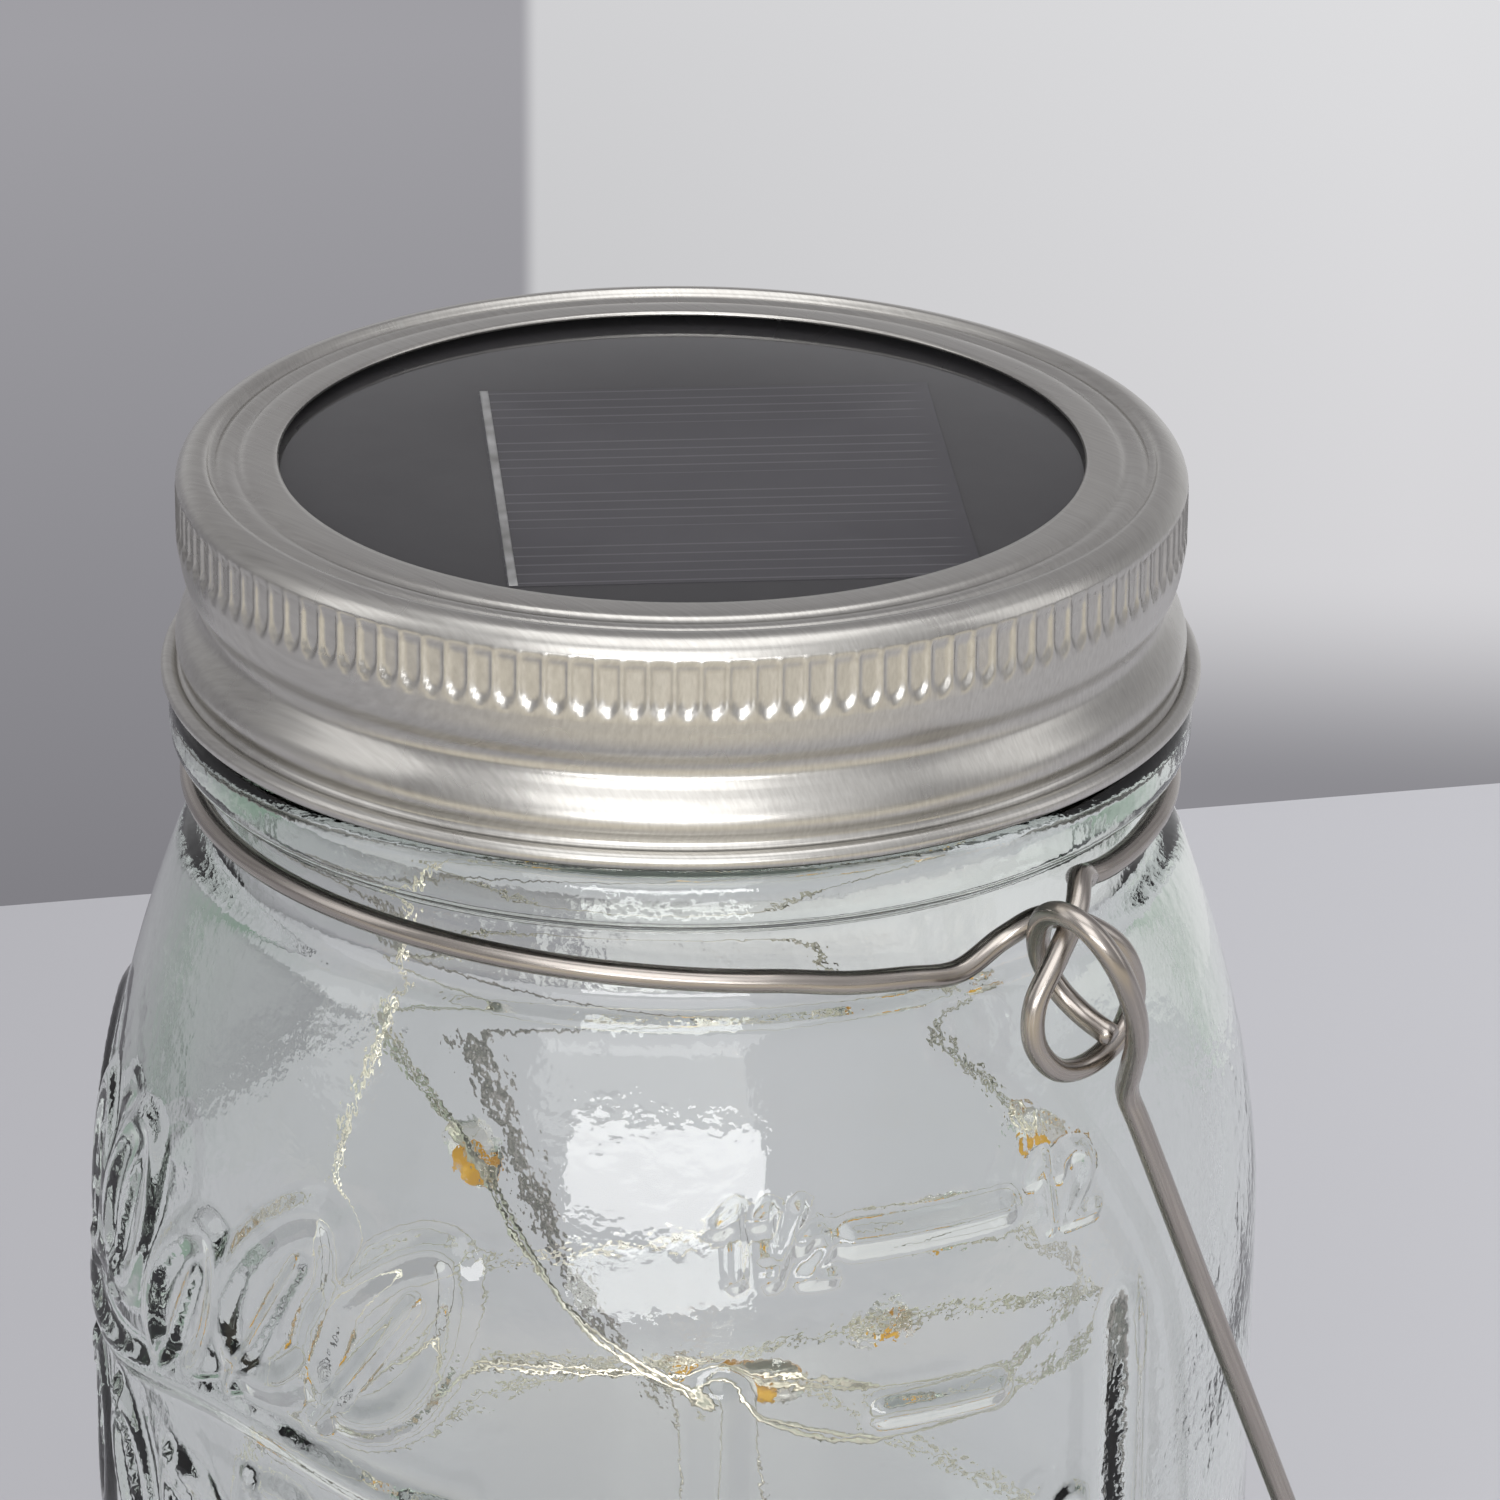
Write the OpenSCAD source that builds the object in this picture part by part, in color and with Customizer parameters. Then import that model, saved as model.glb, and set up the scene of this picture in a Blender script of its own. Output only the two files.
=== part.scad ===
// Mason jar lantern: a glass jar with a solar lid insert under a screw band,
// a wire hanger linked to a neck ring, and a light string inside.
// Millimetres, +Z up, origin at the centre of the base. The hanger turns about
// an axis along X.

/* [Jar] */
// Radius of the glass body
jar_r = 41.6; // [40:0.1:48]
// Height of the glass, from the table to the rim
jar_h = 125.7; // [118:0.1:150]
// Thickness of the glass wall
glass_wall = 3.2; // [2:0.1:4]
// Thickness of the glass floor
floor_t = 5; // [3:0.5:8]
// Rise of the hollow under the base
push_up = 2.5; // [1:0.5:4]
// Radius of the rounded heel
heel_r = 6; // [3:0.5:10]
// Radius inside the mouth
mouth_r = 29.6; // [29.3:0.1:30.4]
// Outer radius of the threaded finish
finish_r = 33; // [32.6:0.1:33.3]
// Outer radius of the transfer bead
bead_r = 35.9; // [35:0.1:36.5]
// Height of the transfer bead
bead_h = 4.3; // [3:0.1:4.8]
// Distance from the rim to the underside of the bead
finish_h = 16.4; // [16:0.1:18]
// Outer radius of the neck below the bead
neck_r = 33.3; // [33:0.1:33.4]
// Height of the straight neck groove
neck_h = 6.1; // [5.5:0.1:8]
// Height of the shoulder, from the neck to the full body
shoulder_h = 29.5; // [24:0.5:36]
// How far the shoulder starts outside the neck
shoulder_step = 2; // [1.2:0.1:2.7]
// Height of the cast relief on the body
relief_h = 0.8; // [0.5:0.1:0.9]
// Spacing of the measuring marks
mark_step = 12.4; // [10:0.1:12.4]

/* [Screw band] */
// Thickness of the pressed sheet
band_t = 0.4; // [0.3:0.05:0.5]
// Radius of the opening in the lip
lip_hole_r = 27.9; // [27.5:0.1:28.4]
// Depth of the ring pressed into the lip
lip_step = 0.8; // [0.5:0.1:1.2]
// Outer radius over the knurl
knurl_r = 35.2; // [35.1:0.1:36]
// Number of knurl ribs
knurl_count = 120; // [60:1:140]
// Depth of the knurl
knurl_depth = 0.35; // [0.2:0.05:0.5]
// Height of the knurl
knurl_h = 3.3; // [2.5:0.1:4]
// Radius of the wire edge rolled at the bottom
curl_r = 0.65; // [0.5:0.05:0.8]
// How far the rolled edge stands beyond the knurl
curl_out = 1.2; // [1:0.1:2]
// Height of the band
band_h = 16; // [15.5:0.1:16.2]

/* [Solar insert] */
// Thickness of the rim gasket
gasket_t = 1; // [0.6:0.1:2]
// Radius of the insert's flange
flange_r = 33.4; // [32.5:0.1:33.5]
// Thickness of the flange
flange_t = 2; // [1.6:0.1:2.5]
// Outer radius of the cup that hangs in the mouth
cup_r = 28.6; // [28:0.1:28.8]
// Wall of the cup
cup_wall = 1.6; // [1.2:0.1:2]
// Height inside the cup
cup_inside_h = 10.6; // [10.3:0.1:14]
// Thickness of the plate over the cup
deck_t = 1.2; // [1:0.1:2]
// Thickness of the bottom cover
cover_t = 1.4; // [1:0.1:2]
// Distance that the panel reaches under the lip
panel_tuck = 2.1; // [1.5:0.1:2.2]
// Height of the panel above the flange
panel_rise = 0.55; // [0.3:0.05:0.6]
// Width of the black rim round the panel
panel_rim = 0.5; // [0.4:0.1:0.9]
// Thickness of the panel's backing board
board_t = 0.8; // [0.6:0.1:1.2]
// Thickness of the clear layer over the board
clear_t = 1; // [0.8:0.1:1.4]
// Length of the solar cell, across its finger lines
cell_x = 32; // [20:1:34]
// Width of the solar cell, along its busbar
cell_y = 37; // [20:0.5:38]
// Thickness of the solar cell
cell_t = 0.25; // [0.2:0.05:0.4]
// Width of the busbar ribbon
busbar_w = 1.1; // [0.6:0.1:2]
// Turn of the cell about the lid's centre
cell_turn = 52.3; // [0:0.1:90]
// Shift of the cell from the lid's centre, along X
cell_shift = 4.3; // [0:0.1:5]

/* [Electrics] */
// Diameter of the rechargeable cell
battery_d = 10; // [9:0.1:10.2]
// Length of the rechargeable cell
battery_l = 29; // [25:0.5:30]
// Distance of the battery from the lid's centre
battery_off = 9.5; // [9:0.5:11]
// Length of the circuit board
pcb_x = 24; // [20:1:26]
// Width of the circuit board
pcb_y = 14; // [12:0.5:15]
// Thickness of the circuit board
pcb_t = 1; // [0.8:0.1:1.6]
// Distance of the circuit board from the lid's centre
pcb_off = 11; // [10:0.5:12]
// Length of the switch body
switch_l = 8.5; // [7:0.5:10]
// Width of the switch body
switch_w = 3.6; // [3:0.1:5]
// Height of the switch body
switch_h = 3.4; // [3:0.1:5]
// Travel of the switch slider
switch_travel = 2; // [1:0.1:3]
// Width of the battery door
door_y = 13; // [12:0.5:14]

/* [Wire hanger] */
// Diameter of the steel wire
wire_d = 1.65; // [1.4:0.05:1.7]
// Distance of the pivot axis below the transfer bead
pivot_drop = 7.3; // [7.1:0.1:7.6]
// Distance from the pivot axis to the middle of the arch
bail_l = 103; // [102:0.5:106]
// How far the arms stand inside the widest line of the body
arm_in = 0.1; // [0:0.05:0.3]
// Room for the links between the neck ring and the arms
link_room = 7.1; // [7:0.1:8]
// Gap between the resting arch and the body
rest_gap = 0.3; // [0.3:0.1:1]

/* [Light string] */
// Diameter of the twin light wire
string_d = 1; // [0.8:0.1:1.2]
// Length of a resin bead
led_l = 6; // [4:0.5:8]
// Diameter of a resin bead
led_d = 3.4; // [2.8:0.1:4]

/* [Hidden] */

$fn = 96;

// ---- small helpers -------------------------------------------------------------------
function unit(v) = v / norm(v);
function flip(list) = [for (i = [len(list) - 1 : -1 : 0]) list[i]];
function half_turn(list) = [for (p = list) [-p[0], -p[1], p[2]]];
function arc(c, r, a0, a1, steps) =
    [for (i = [0 : steps]) c + r * [cos(a0 + (a1 - a0) * i / steps), sin(a0 + (a1 - a0) * i / steps)]];

// Smooth curve through control points: cubic pieces whose tangents follow the neighbours.
function cubic(a, b, c, d, t) =
    0.5 * (2 * b + (c - a) * t + (2 * a - 5 * b + 4 * c - d) * t * t + (3 * b - a - 3 * c + d) * t * t * t);
function smooth(pts, steps) =
    let (n = len(pts),
         ext = concat([2 * pts[0] - pts[1]], pts, [2 * pts[n - 1] - pts[n - 2]]))
    concat([for (i = [0 : n - 2], k = [0 : steps - 1])
                cubic(ext[i], ext[i + 1], ext[i + 2], ext[i + 3], k / steps)],
           [pts[n - 1]]);

// Path moved sideways by a distance, towards its right-hand side.
function side_step(path, dist) =
    [for (i = [0 : len(path) - 1])
        let (a = path[max(i - 1, 0)], b = path[min(i + 1, len(path) - 1)], t = unit(b - a))
        path[i] + dist * [t[1], -t[0]]];

// Round wire along 3D points. The frame is carried along without twist, and a closed
// wire spreads the angle that is left over its length.
function drop(v, t) = unit(v - (v * t) * t);
function tangents(p, closed) =
    let (n = len(p))
    [for (i = [0 : n - 1])
        closed ? unit(p[(i + 1) % n] - p[(i + n - 1) % n])
               : unit(p[min(i + 1, n - 1)] - p[max(i - 1, 0)])];
function carried(t, start) =
    [for (i = 0, v = start; i < len(t);
          i = i + 1, v = i < len(t) ? drop(v, t[i]) : v) v];

module wire(path, d, sides, closed = false) {
    n = len(path);
    t = tangents(path, closed);
    start = drop(abs(t[0][2]) < 0.8 ? [0, 0, 1] : [1, 0, 0], t[0]);
    v = carried(t, start);
    last = drop(v[n - 1], t[0]);
    left_over = closed ? atan2(cross(t[0], start) * last, start * last) : 0;
    rings = [for (i = [0 : n - 1], k = [0 : sides - 1])
        let (w = cross(t[i], v[i]), a = 360 * k / sides - left_over * i / n)
        path[i] + d / 2 * (cos(a) * v[i] + sin(a) * w)];
    last_ring = closed ? n - 1 : n - 2;
    walls = [for (i = [0 : last_ring], k = [0 : sides - 1])
        let (a = i * sides, b = ((i + 1) % n) * sides, k2 = (k + 1) % sides)
        [a + k, b + k, b + k2, a + k2]];
    caps = closed ? [] : [[for (k = [0 : sides - 1]) k],
                          [for (k = [sides - 1 : -1 : 0]) (n - 1) * sides + k]];
    polyhedron(rings, concat(walls, caps), convexity = 12);
}

module ring(outer, inner, height) {
    difference() {
        cylinder(r = outer, h = height);
        translate([0, 0, -1]) cylinder(r = inner, h = height + 2);
    }
}

// ---- derived heights -----------------------------------------------------------------
bead_low = jar_h - finish_h;
bead_top = bead_low + bead_h;
neck_low = bead_low - neck_h;
body_top = neck_low - shoulder_h;
flange_low = jar_h + gasket_t;
flange_top = flange_low + flange_t;
seat_gap = 0.1;
band_top = flange_top + seat_gap + band_t + lip_step;

panel_z = flange_top + panel_rise - clear_t - board_t;
panel_r = lip_hole_r + panel_tuck;
deck_low = panel_z - deck_t;
cup_low = deck_low - cup_inside_h;
insert_low = cup_low - cover_t;
cup_inner_r = cup_r - cup_wall;

// ---- glass jar -----------------------------------------------------------------------
shoulder_steps = 12;
shoulder_power = 1.75;
function shoulder(wide, narrow, low, high) =
    [for (i = [0 : shoulder_steps])
        let (t = i / shoulder_steps)
        [wide - (wide - narrow) * pow(t, shoulder_power), low + (high - low) * t]];
fillet = 1.2;
foot_r = jar_r - heel_r;
foot_w = 6;
inner_r = jar_r - glass_wall;
inner_floor = push_up + floor_t;
inner_heel = heel_r - 1;
rim_round = 1.4;
shoulder_r = neck_r + shoulder_step;

function jar_outline() = concat(
    [[0, push_up], [foot_r - foot_w - 4, push_up], [foot_r - foot_w - 2, push_up * 0.7],
     [foot_r - foot_w, 0]],
    arc([foot_r, heel_r], heel_r, -90, 0, 8),
    shoulder(jar_r, shoulder_r, body_top, neck_low - fillet),
    [[neck_r + 0.6, neck_low - fillet * 0.45], [neck_r, neck_low + 0.4]],
    [[neck_r, bead_low - 1.2], [neck_r + 0.5, bead_low - 0.35]],
    arc([bead_r - 1, bead_low + 1], 1, -90, 0, 4),
    arc([bead_r - 1, bead_top - 1], 1, 0, 90, 4),
    [[finish_r, bead_top + 0.4]],
    arc([finish_r - rim_round, jar_h - rim_round], rim_round, 0, 90, 5),
    arc([mouth_r + rim_round, jar_h - rim_round], rim_round, 90, 180, 5),
    flip(shoulder(inner_r, mouth_r, body_top - 2, neck_low - 2)),
    arc([inner_r - inner_heel, inner_floor + inner_heel], inner_heel, 0, -90, 6),
    [[0, inner_floor]]);

// Cast relief: a drawing laid on the wall at an angle round the jar and a height, and cut
// to the relief's height by a skin that follows the wall.
mark_top = neck_low - 15.2;
mark_angle = -16.8;
mark_w = 1.7;
rib_w = 2.8;
rib_off = 21.6;
sprig_angle = -105.2;
sprig_mid = neck_low - 34.7;
leaf_rim = 2;
stem_w = 1.6;

function round_bar(l, w) = concat(arc([l / 2, 0], w / 2, -90, 90, 4), arc([-l / 2, 0], w / 2, 90, 270, 4));
function leaf_edge(l, w) =
    [for (i = [0 : 15]) let (a = 22.5 * i) [l / 2 * cos(a), w / 2 * sin(a) * (1 - 0.22 * cos(a))]];

module on_wall(angle, z)
    rotate([0, 0, angle]) translate([jar_r - 5, 0, z]) rotate([90, 0, 90]) linear_extrude(8) children();

relief_low = 18;
function wall_line(out) =
    [for (p = concat([[jar_r, relief_low]], shoulder(jar_r, shoulder_r, body_top, neck_low - fillet)))
        if (p[1] < mark_top + 6) p + [out, 0]];
module skin()
    rotate_extrude() polygon(concat(wall_line(relief_h), flip(wall_line(-glass_wall / 2))));

module measuring_scale() {
    low = mark_top - 5.2 * mark_step;
    for (i = [0 : 5])
        on_wall(mark_angle, mark_top - i * mark_step) polygon(round_bar(i % 2 == 0 ? 11 : 7.4, mark_w));
    for (side = [-1, 1])
        on_wall(mark_angle + side * rib_off, (low + mark_top - 9) / 2)
            rotate(90) polygon(round_bar(mark_top - 9 - low, rib_w));
}

// Leaves: distance round the wall and height from the sprig's middle, length, width, turn.
leaves = [[15.6, 11.5, 15, 8.6, 62], [24.6, 11.3, 15.5, 8.4, 56], [5.6, 7.5, 13, 7.4, 66],
          [-4, 11, 14, 7.6, 72], [-13.5, 9.5, 13.5, 7.4, 84], [-22.6, 11.5, 14.5, 7.6, 100],
          [17.5, -8.5, 11.5, 6, -46], [7.5, -11, 11.5, 6, -52], [-3, -11, 11.5, 6, -62],
          [-13, -11.5, 11.5, 6, -76], [-22, -10.5, 11, 5.6, -96]];

module leafy_sprig() {
    for (leaf = leaves)
        on_wall(sprig_angle + 1.41 * leaf[0], sprig_mid + leaf[1])
            rotate(leaf[4])
                difference() {
                    polygon(leaf_edge(leaf[2] + leaf_rim, leaf[3] + leaf_rim));
                    polygon(leaf_edge(leaf[2] - leaf_rim, leaf[3] - leaf_rim));
                }
    translate([0, 0, sprig_mid - stem_w / 2])
        rotate([0, 0, sprig_angle - 38])
            rotate_extrude(angle = 77) translate([jar_r - 3, 0]) square([5, stem_w]);
}

module glass_jar()
    color([0.80, 0.88, 0.85, 0.35]) {
        rotate_extrude() polygon(jar_outline());
        intersection() {
            skin();
            union() {
                measuring_scale();
                leafy_sprig();
            }
        }
    }

// ---- screw band ----------------------------------------------------------------------
knurl_high = -2.3;
knurl_low = knurl_high - knurl_h;
wall_r = knurl_r - knurl_depth;
groove_depth = 0.9;
groove_high = -8.4;
bulge_r = wall_r + 0.5;
curl_outer_r = knurl_r + curl_out;

// Outer face of the band from the lip's opening outwards and down to the knurl.
function lip_path() = concat(
    [[lip_hole_r, -0.75]],
    arc([lip_hole_r + 0.4, -0.4], 0.4, 180, 90, 3),
    [[lip_hole_r + 2.1, 0], [lip_hole_r + 2.6, -0.2], [lip_hole_r + 3, -lip_step],
     [lip_hole_r + 3.6, -lip_step], [lip_hole_r + 4.2, -0.45]],
    arc([wall_r - 2.1, -2.3], 2.1, 100, 0, 8));
function wall_path() = concat(
    [[wall_r, knurl_low], [wall_r, groove_high + 0.8]],
    [[wall_r - 0.35, groove_high], [wall_r - groove_depth, groove_high - 0.8],
     [wall_r - groove_depth, groove_high - 1.9], [wall_r - 0.35, groove_high - 2.8]],
    arc([bulge_r - 1.6, groove_high - 4.6], 1.6, 40, -40, 5),
    [[curl_outer_r - 2 * curl_r + 0.1, -band_h + 1.2 * curl_r]]);
function sheet(path) = concat(path, flip(side_step(path, band_t)));

function knurl_outline() =
    [for (i = [0 : knurl_count - 1], k = [0 : 3])
        let (a = 360 * (i + [0.05, 0.4, 0.55, 0.9][k]) / knurl_count, r = k < 2 ? knurl_r : wall_r)
        r * [cos(a), sin(a)]];

module screw_band()
    color([0.78, 0.77, 0.74])
        translate([0, 0, band_top]) {
            rotate_extrude() polygon(sheet(lip_path()));
            rotate_extrude() polygon(sheet(wall_path()));
            translate([0, 0, knurl_low])
                difference() {
                    linear_extrude(knurl_high - knurl_low) polygon(knurl_outline());
                    translate([0, 0, -1]) cylinder(r = wall_r - band_t, h = knurl_h + 2);
                }
            rotate_extrude()
                translate([curl_outer_r - curl_r, -band_h + curl_r]) circle(curl_r, $fn = 24);
        }

// ---- rim gasket ----------------------------------------------------------------------
module rim_gasket()
    color([0.85, 0.84, 0.80])
        translate([0, 0, jar_h]) ring(finish_r - 0.2, mouth_r + 0.6, gasket_t);

// ---- solar insert --------------------------------------------------------------------
switch_lift = 0.3;
lead_hole_r = 0.9;
lead_x = 3;
boss_r = 2.3;
boss_hole_r = 0.8;
boss_ring = cup_inner_r - boss_r - 0.6;
boss_angles = [-20, 90, 200];
spring_room = 4;
end_room = 1.2;
tray_l = battery_l + spring_room + end_room;
door_lug_x = tray_l / 2 + 2.5;

module housing_body() {
    translate([0, 0, flange_low]) cylinder(r = flange_r, h = flange_t);
    translate([0, 0, flange_low]) cylinder(r = panel_r + panel_rim, h = flange_t + 0.2);
    translate([0, 0, cup_low]) cylinder(r = cup_r, h = flange_low - cup_low + 0.5);
}

module solar_housing()
    color([0.10, 0.10, 0.11]) {
        difference() {
            housing_body();
            translate([0, 0, panel_z]) cylinder(r = panel_r, h = 5);
            translate([0, 0, cup_low - 1]) cylinder(r = cup_inner_r, h = cup_inside_h + 1);
            for (s = [-1, 1])
                translate([s * lead_x, 0, deck_low - 1]) cylinder(r = lead_hole_r, h = deck_t + 2);
        }
        for (a = boss_angles)
            rotate([0, 0, a]) translate([boss_ring, 0, cup_low])
                ring(boss_r, boss_hole_r, cup_inside_h);
        tray_ends();
        pcb_posts();
        translate([door_lug_x, battery_off, cup_low]) ring(1.8, boss_hole_r, cup_inside_h);
    }

// Two cross walls hold the battery and its contacts.
module tray_ends()
    for (s = [-1, 1])
        translate([s * (tray_l / 2 + 0.5) - 0.5, battery_off - 4, cup_low + 1.5])
            cube([1, 8, cup_inside_h - 1.5]);

pcb_z = cup_low + switch_lift + switch_h;
post_x = pcb_x / 2 - 2;
post_y = pcb_y / 2 - 2;
module pcb_posts()
    for (sx = [-1, 1], sy = [-1, 1])
        translate([sx * post_x, sy * post_y - pcb_off, pcb_z + pcb_t])
            cylinder(r = 1.3, h = deck_low - pcb_z - pcb_t);

module panel_board()
    color([0.13, 0.13, 0.14])
        translate([0, 0, panel_z]) cylinder(r = panel_r, h = board_t);

cell_z = panel_z + board_t;
module on_cell() translate([cell_shift, 0, cell_z]) rotate([0, 0, cell_turn]) children();

module solar_cell()
    color([0.20, 0.19, 0.24])
        on_cell() translate([-cell_x / 2, -cell_y / 2, 0]) cube([cell_x, cell_y, cell_t]);

busbar_t = 0.15;
module busbar_shape(extra)
    translate([-cell_x / 2, -cell_y / 2, cell_t]) cube([busbar_w, cell_y, busbar_t + extra]);

module cell_busbar()
    color([0.72, 0.71, 0.68]) on_cell() busbar_shape(0);

module panel_cover()
    color([0.30, 0.30, 0.32, 0.5])
        difference() {
            translate([0, 0, cell_z]) cylinder(r = panel_r, h = clear_t);
            on_cell() translate([-cell_x / 2, -cell_y / 2, -1]) cube([cell_x, cell_y, cell_t + 1]);
            on_cell() busbar_shape(0);
        }

// The two leads run from the backing board down to the circuit board.
lead_d = 1;
lead_end = pcb_z + pcb_t;
module panel_lead(s)
    wire(smooth([[s * lead_x, 0, panel_z], [s * lead_x, 0, deck_low - 0.4],
                 [s * (lead_x + 0.6), -2, deck_low - 1.1], [s * (lead_x + 1), -5.5, deck_low - 1],
                 [s * (lead_x + 1), 3.2 - pcb_off, lead_end + 2],
                 [s * (lead_x + 1), 3 - pcb_off, lead_end + 1],
                 [s * (lead_x + 1), 3 - pcb_off, lead_end + 0.05]], 3), lead_d, 8);
module panel_lead_red() color([0.75, 0.10, 0.08]) panel_lead(1);
module panel_lead_black() color([0.08, 0.08, 0.08]) panel_lead(-1);

// ---- electrics -----------------------------------------------------------------------
switch_x = 5.5;
module circuit_board()
    color([0.10, 0.35, 0.18])
        translate([-pcb_x / 2, -pcb_off - pcb_y / 2, pcb_z]) cube([pcb_x, pcb_y, pcb_t]);

module driver_chip()
    color([0.09, 0.09, 0.09])
        translate([-9.5, 1.5 - pcb_off, pcb_z - 1.6]) {
            cube([5, 3.6, 1.6]);
            for (k = [0 : 3]) translate([0.4 + 1.2 * k, 3.6, 0.4]) cube([0.5, 1, 1.2]);
        }

module inductor()
    color([0.30, 0.55, 0.35])
        translate([-4.2, -pcb_off - 4, pcb_z - 1.7])
            rotate([0, 90, 0]) {
                cylinder(r = 1.4, h = 4.4, $fn = 32);
                translate([0, 0, -1.2]) cylinder(r = 0.35, h = 6.8, $fn = 24);
                for (x = [-1.2, 5.2]) translate([-1.7, 0, x + 0.2]) rotate([0, 90, 0])
                    cylinder(r = 0.35, h = 1.7, $fn = 24);
            }

battery_z = cup_low + battery_d / 2;
battery_x0 = -tray_l / 2 + spring_room;
module battery()
    color([0.20, 0.55, 0.30])
        translate([battery_x0, battery_off, battery_z]) rotate([0, 90, 0])
            rotate_extrude(angle = 360) polygon([
                [0, 0], [battery_d / 2 - 0.8, 0], [battery_d / 2, 0.6], [battery_d / 2, battery_l - 1.6],
                [battery_d / 2 - 0.7, battery_l - 1], [2.1, battery_l - 1], [2.1, battery_l], [0, battery_l]]);

spring_wire = 0.6;
spring_turns = 3.5;
spring_steps = 42;
module contact_spring()
    color([0.82, 0.80, 0.74]) {
        wire([for (i = [0 : spring_steps])
                 let (t = i / spring_steps, a = 360 * spring_turns * t, r = 3.4 - 1.6 * t)
                 [-tray_l / 2 + 0.35 + spring_wire / 2 + (spring_room - 0.35 - spring_wire) * t,
                  battery_off + r * cos(a), battery_z + r * sin(a)]], spring_wire, 6);
        translate([-tray_l / 2, battery_off - 3.8, battery_z - 3.8]) cube([0.5, 7.6, 7.6]);
    }

module contact_plate()
    color([0.82, 0.80, 0.74])
        translate([tray_l / 2 - 0.4, battery_off - 3.8, battery_z - 3.8]) {
            cube([0.4, 7.6, 7.6]);
            translate([-0.8, 3.8, 3.8]) rotate([0, 90, 0]) cylinder(r = 1.2, h = 0.8, $fn = 32);
        }

// ---- bottom cover, door and switch ---------------------------------------------------
door_gap = 0.2;
door_t = cover_t;
slot_l = switch_travel + 3;
slider_w = 1.8;
slider_in = 1;
slider_out = 1;
gland_x = -15;
gland_y = -12;
gland_hole_r = 2;
gland_t = 1.2;
lip_w = 0.7;
door_low_x = -tray_l / 2 - 1;
door_x = door_lug_x + 2.2 - door_low_x;

module bottom_cover()
    color([0.12, 0.12, 0.13])
        translate([0, 0, insert_low])
            difference() {
                cylinder(r = cup_r, h = cover_t);
                translate([door_low_x - door_gap, battery_off - door_y / 2 - door_gap, -1])
                    cube([door_x + 2 * door_gap, door_y + 2 * door_gap, cover_t + 2]);
                translate([switch_x - slot_l / 2, -pcb_off - slider_w / 2 - door_gap, -1])
                    cube([slot_l, slider_w + 2 * door_gap, cover_t + 2]);
                translate([gland_x, gland_y, -1]) cylinder(r = gland_hole_r, h = cover_t + 2);
                for (a = boss_angles)
                    rotate([0, 0, a]) translate([boss_ring, 0, -1]) {
                        cylinder(r = 1.2, h = cover_t + 2);
                        cylinder(r = 2, h = 1.6);
                    }
            }

head_h = 0.6;
cover_head_r = 1.9;
door_head_r = 1.6;
shank_r = boss_hole_r - 0.02;
grip = 4;
module screw(head_r, length) {
    difference() {
        cylinder(r = head_r, h = head_h);
        translate([-head_r * 0.6, -0.2, -1]) cube([head_r * 1.2, 0.4, 1 + head_h * 0.6]);
        translate([-0.2, -head_r * 0.6, -1]) cube([0.4, head_r * 1.2, 1 + head_h * 0.6]);
    }
    translate([0, 0, head_h - 0.01]) cylinder(r = shank_r, h = length);
}

module cover_screws()
    color([0.60, 0.60, 0.62])
        for (a = boss_angles)
            rotate([0, 0, a]) translate([boss_ring, 0, insert_low])
                screw(cover_head_r, cover_t + grip);

module battery_door()
    color([0.12, 0.12, 0.13])
        difference() {
            union() {
                translate([door_low_x, battery_off - door_y / 2, insert_low])
                    cube([door_x, door_y, door_t]);
                for (s = [-1, 1])
                    translate([s * 9 - 3, battery_off - door_y / 2 - lip_w - door_gap, cup_low])
                        cube([6, lip_w + door_gap + 1.5, 0.4]);
            }
            translate([door_lug_x, battery_off, insert_low - 1]) cylinder(r = 1.1, h = door_t + 2);
        }

module door_screw()
    color([0.60, 0.60, 0.62])
        translate([door_lug_x, battery_off, insert_low - head_h]) screw(door_head_r, door_t + grip);

module switch_body()
    color([0.65, 0.66, 0.68])
        translate([switch_x - switch_l / 2, -pcb_off - switch_w / 2, cup_low + switch_lift])
            difference() {
                cube([switch_l, switch_w, switch_h]);
                translate([switch_l / 2 - slot_l / 2, switch_w / 2 - slider_w / 2 - 0.1, -1])
                    cube([slot_l, slider_w + 0.2, 1 + slider_in + 0.2]);
            }

module switch_slider()
    color([0.90, 0.90, 0.88])
        translate([switch_x - slot_l / 2 + 0.5, -pcb_off - slider_w / 2, insert_low - slider_out])
            cube([slot_l - switch_travel - 1, slider_w, slider_out + cover_t + switch_lift + slider_in]);

module string_grommet()
    color([0.20, 0.20, 0.20])
        translate([gland_x, gland_y, insert_low - gland_t])
            union() {
                cylinder(r = gland_hole_r + 1, h = gland_t, $fn = 48);
                cylinder(r = gland_hole_r, h = gland_t + cover_t, $fn = 48);
            }

// ---- wire hanger ---------------------------------------------------------------------
ring_gap = 0.275;
ring_r = neck_r + wire_d / 2 + ring_gap;
pivot_z = bead_low - pivot_drop;
arm_x = max(jar_r - arm_in, ring_r + link_room);
bail_lean = asin((jar_r + wire_d / 2 + rest_gap) / bail_l);

// A point on the ring round the neck, from its distance along Y and its height over the pivot.
function on_neck(y, z) = [sqrt(ring_r * ring_r - y * y), y, z];
function by_arm(dx, y, z) = [arm_x + dx, y, z];

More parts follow.
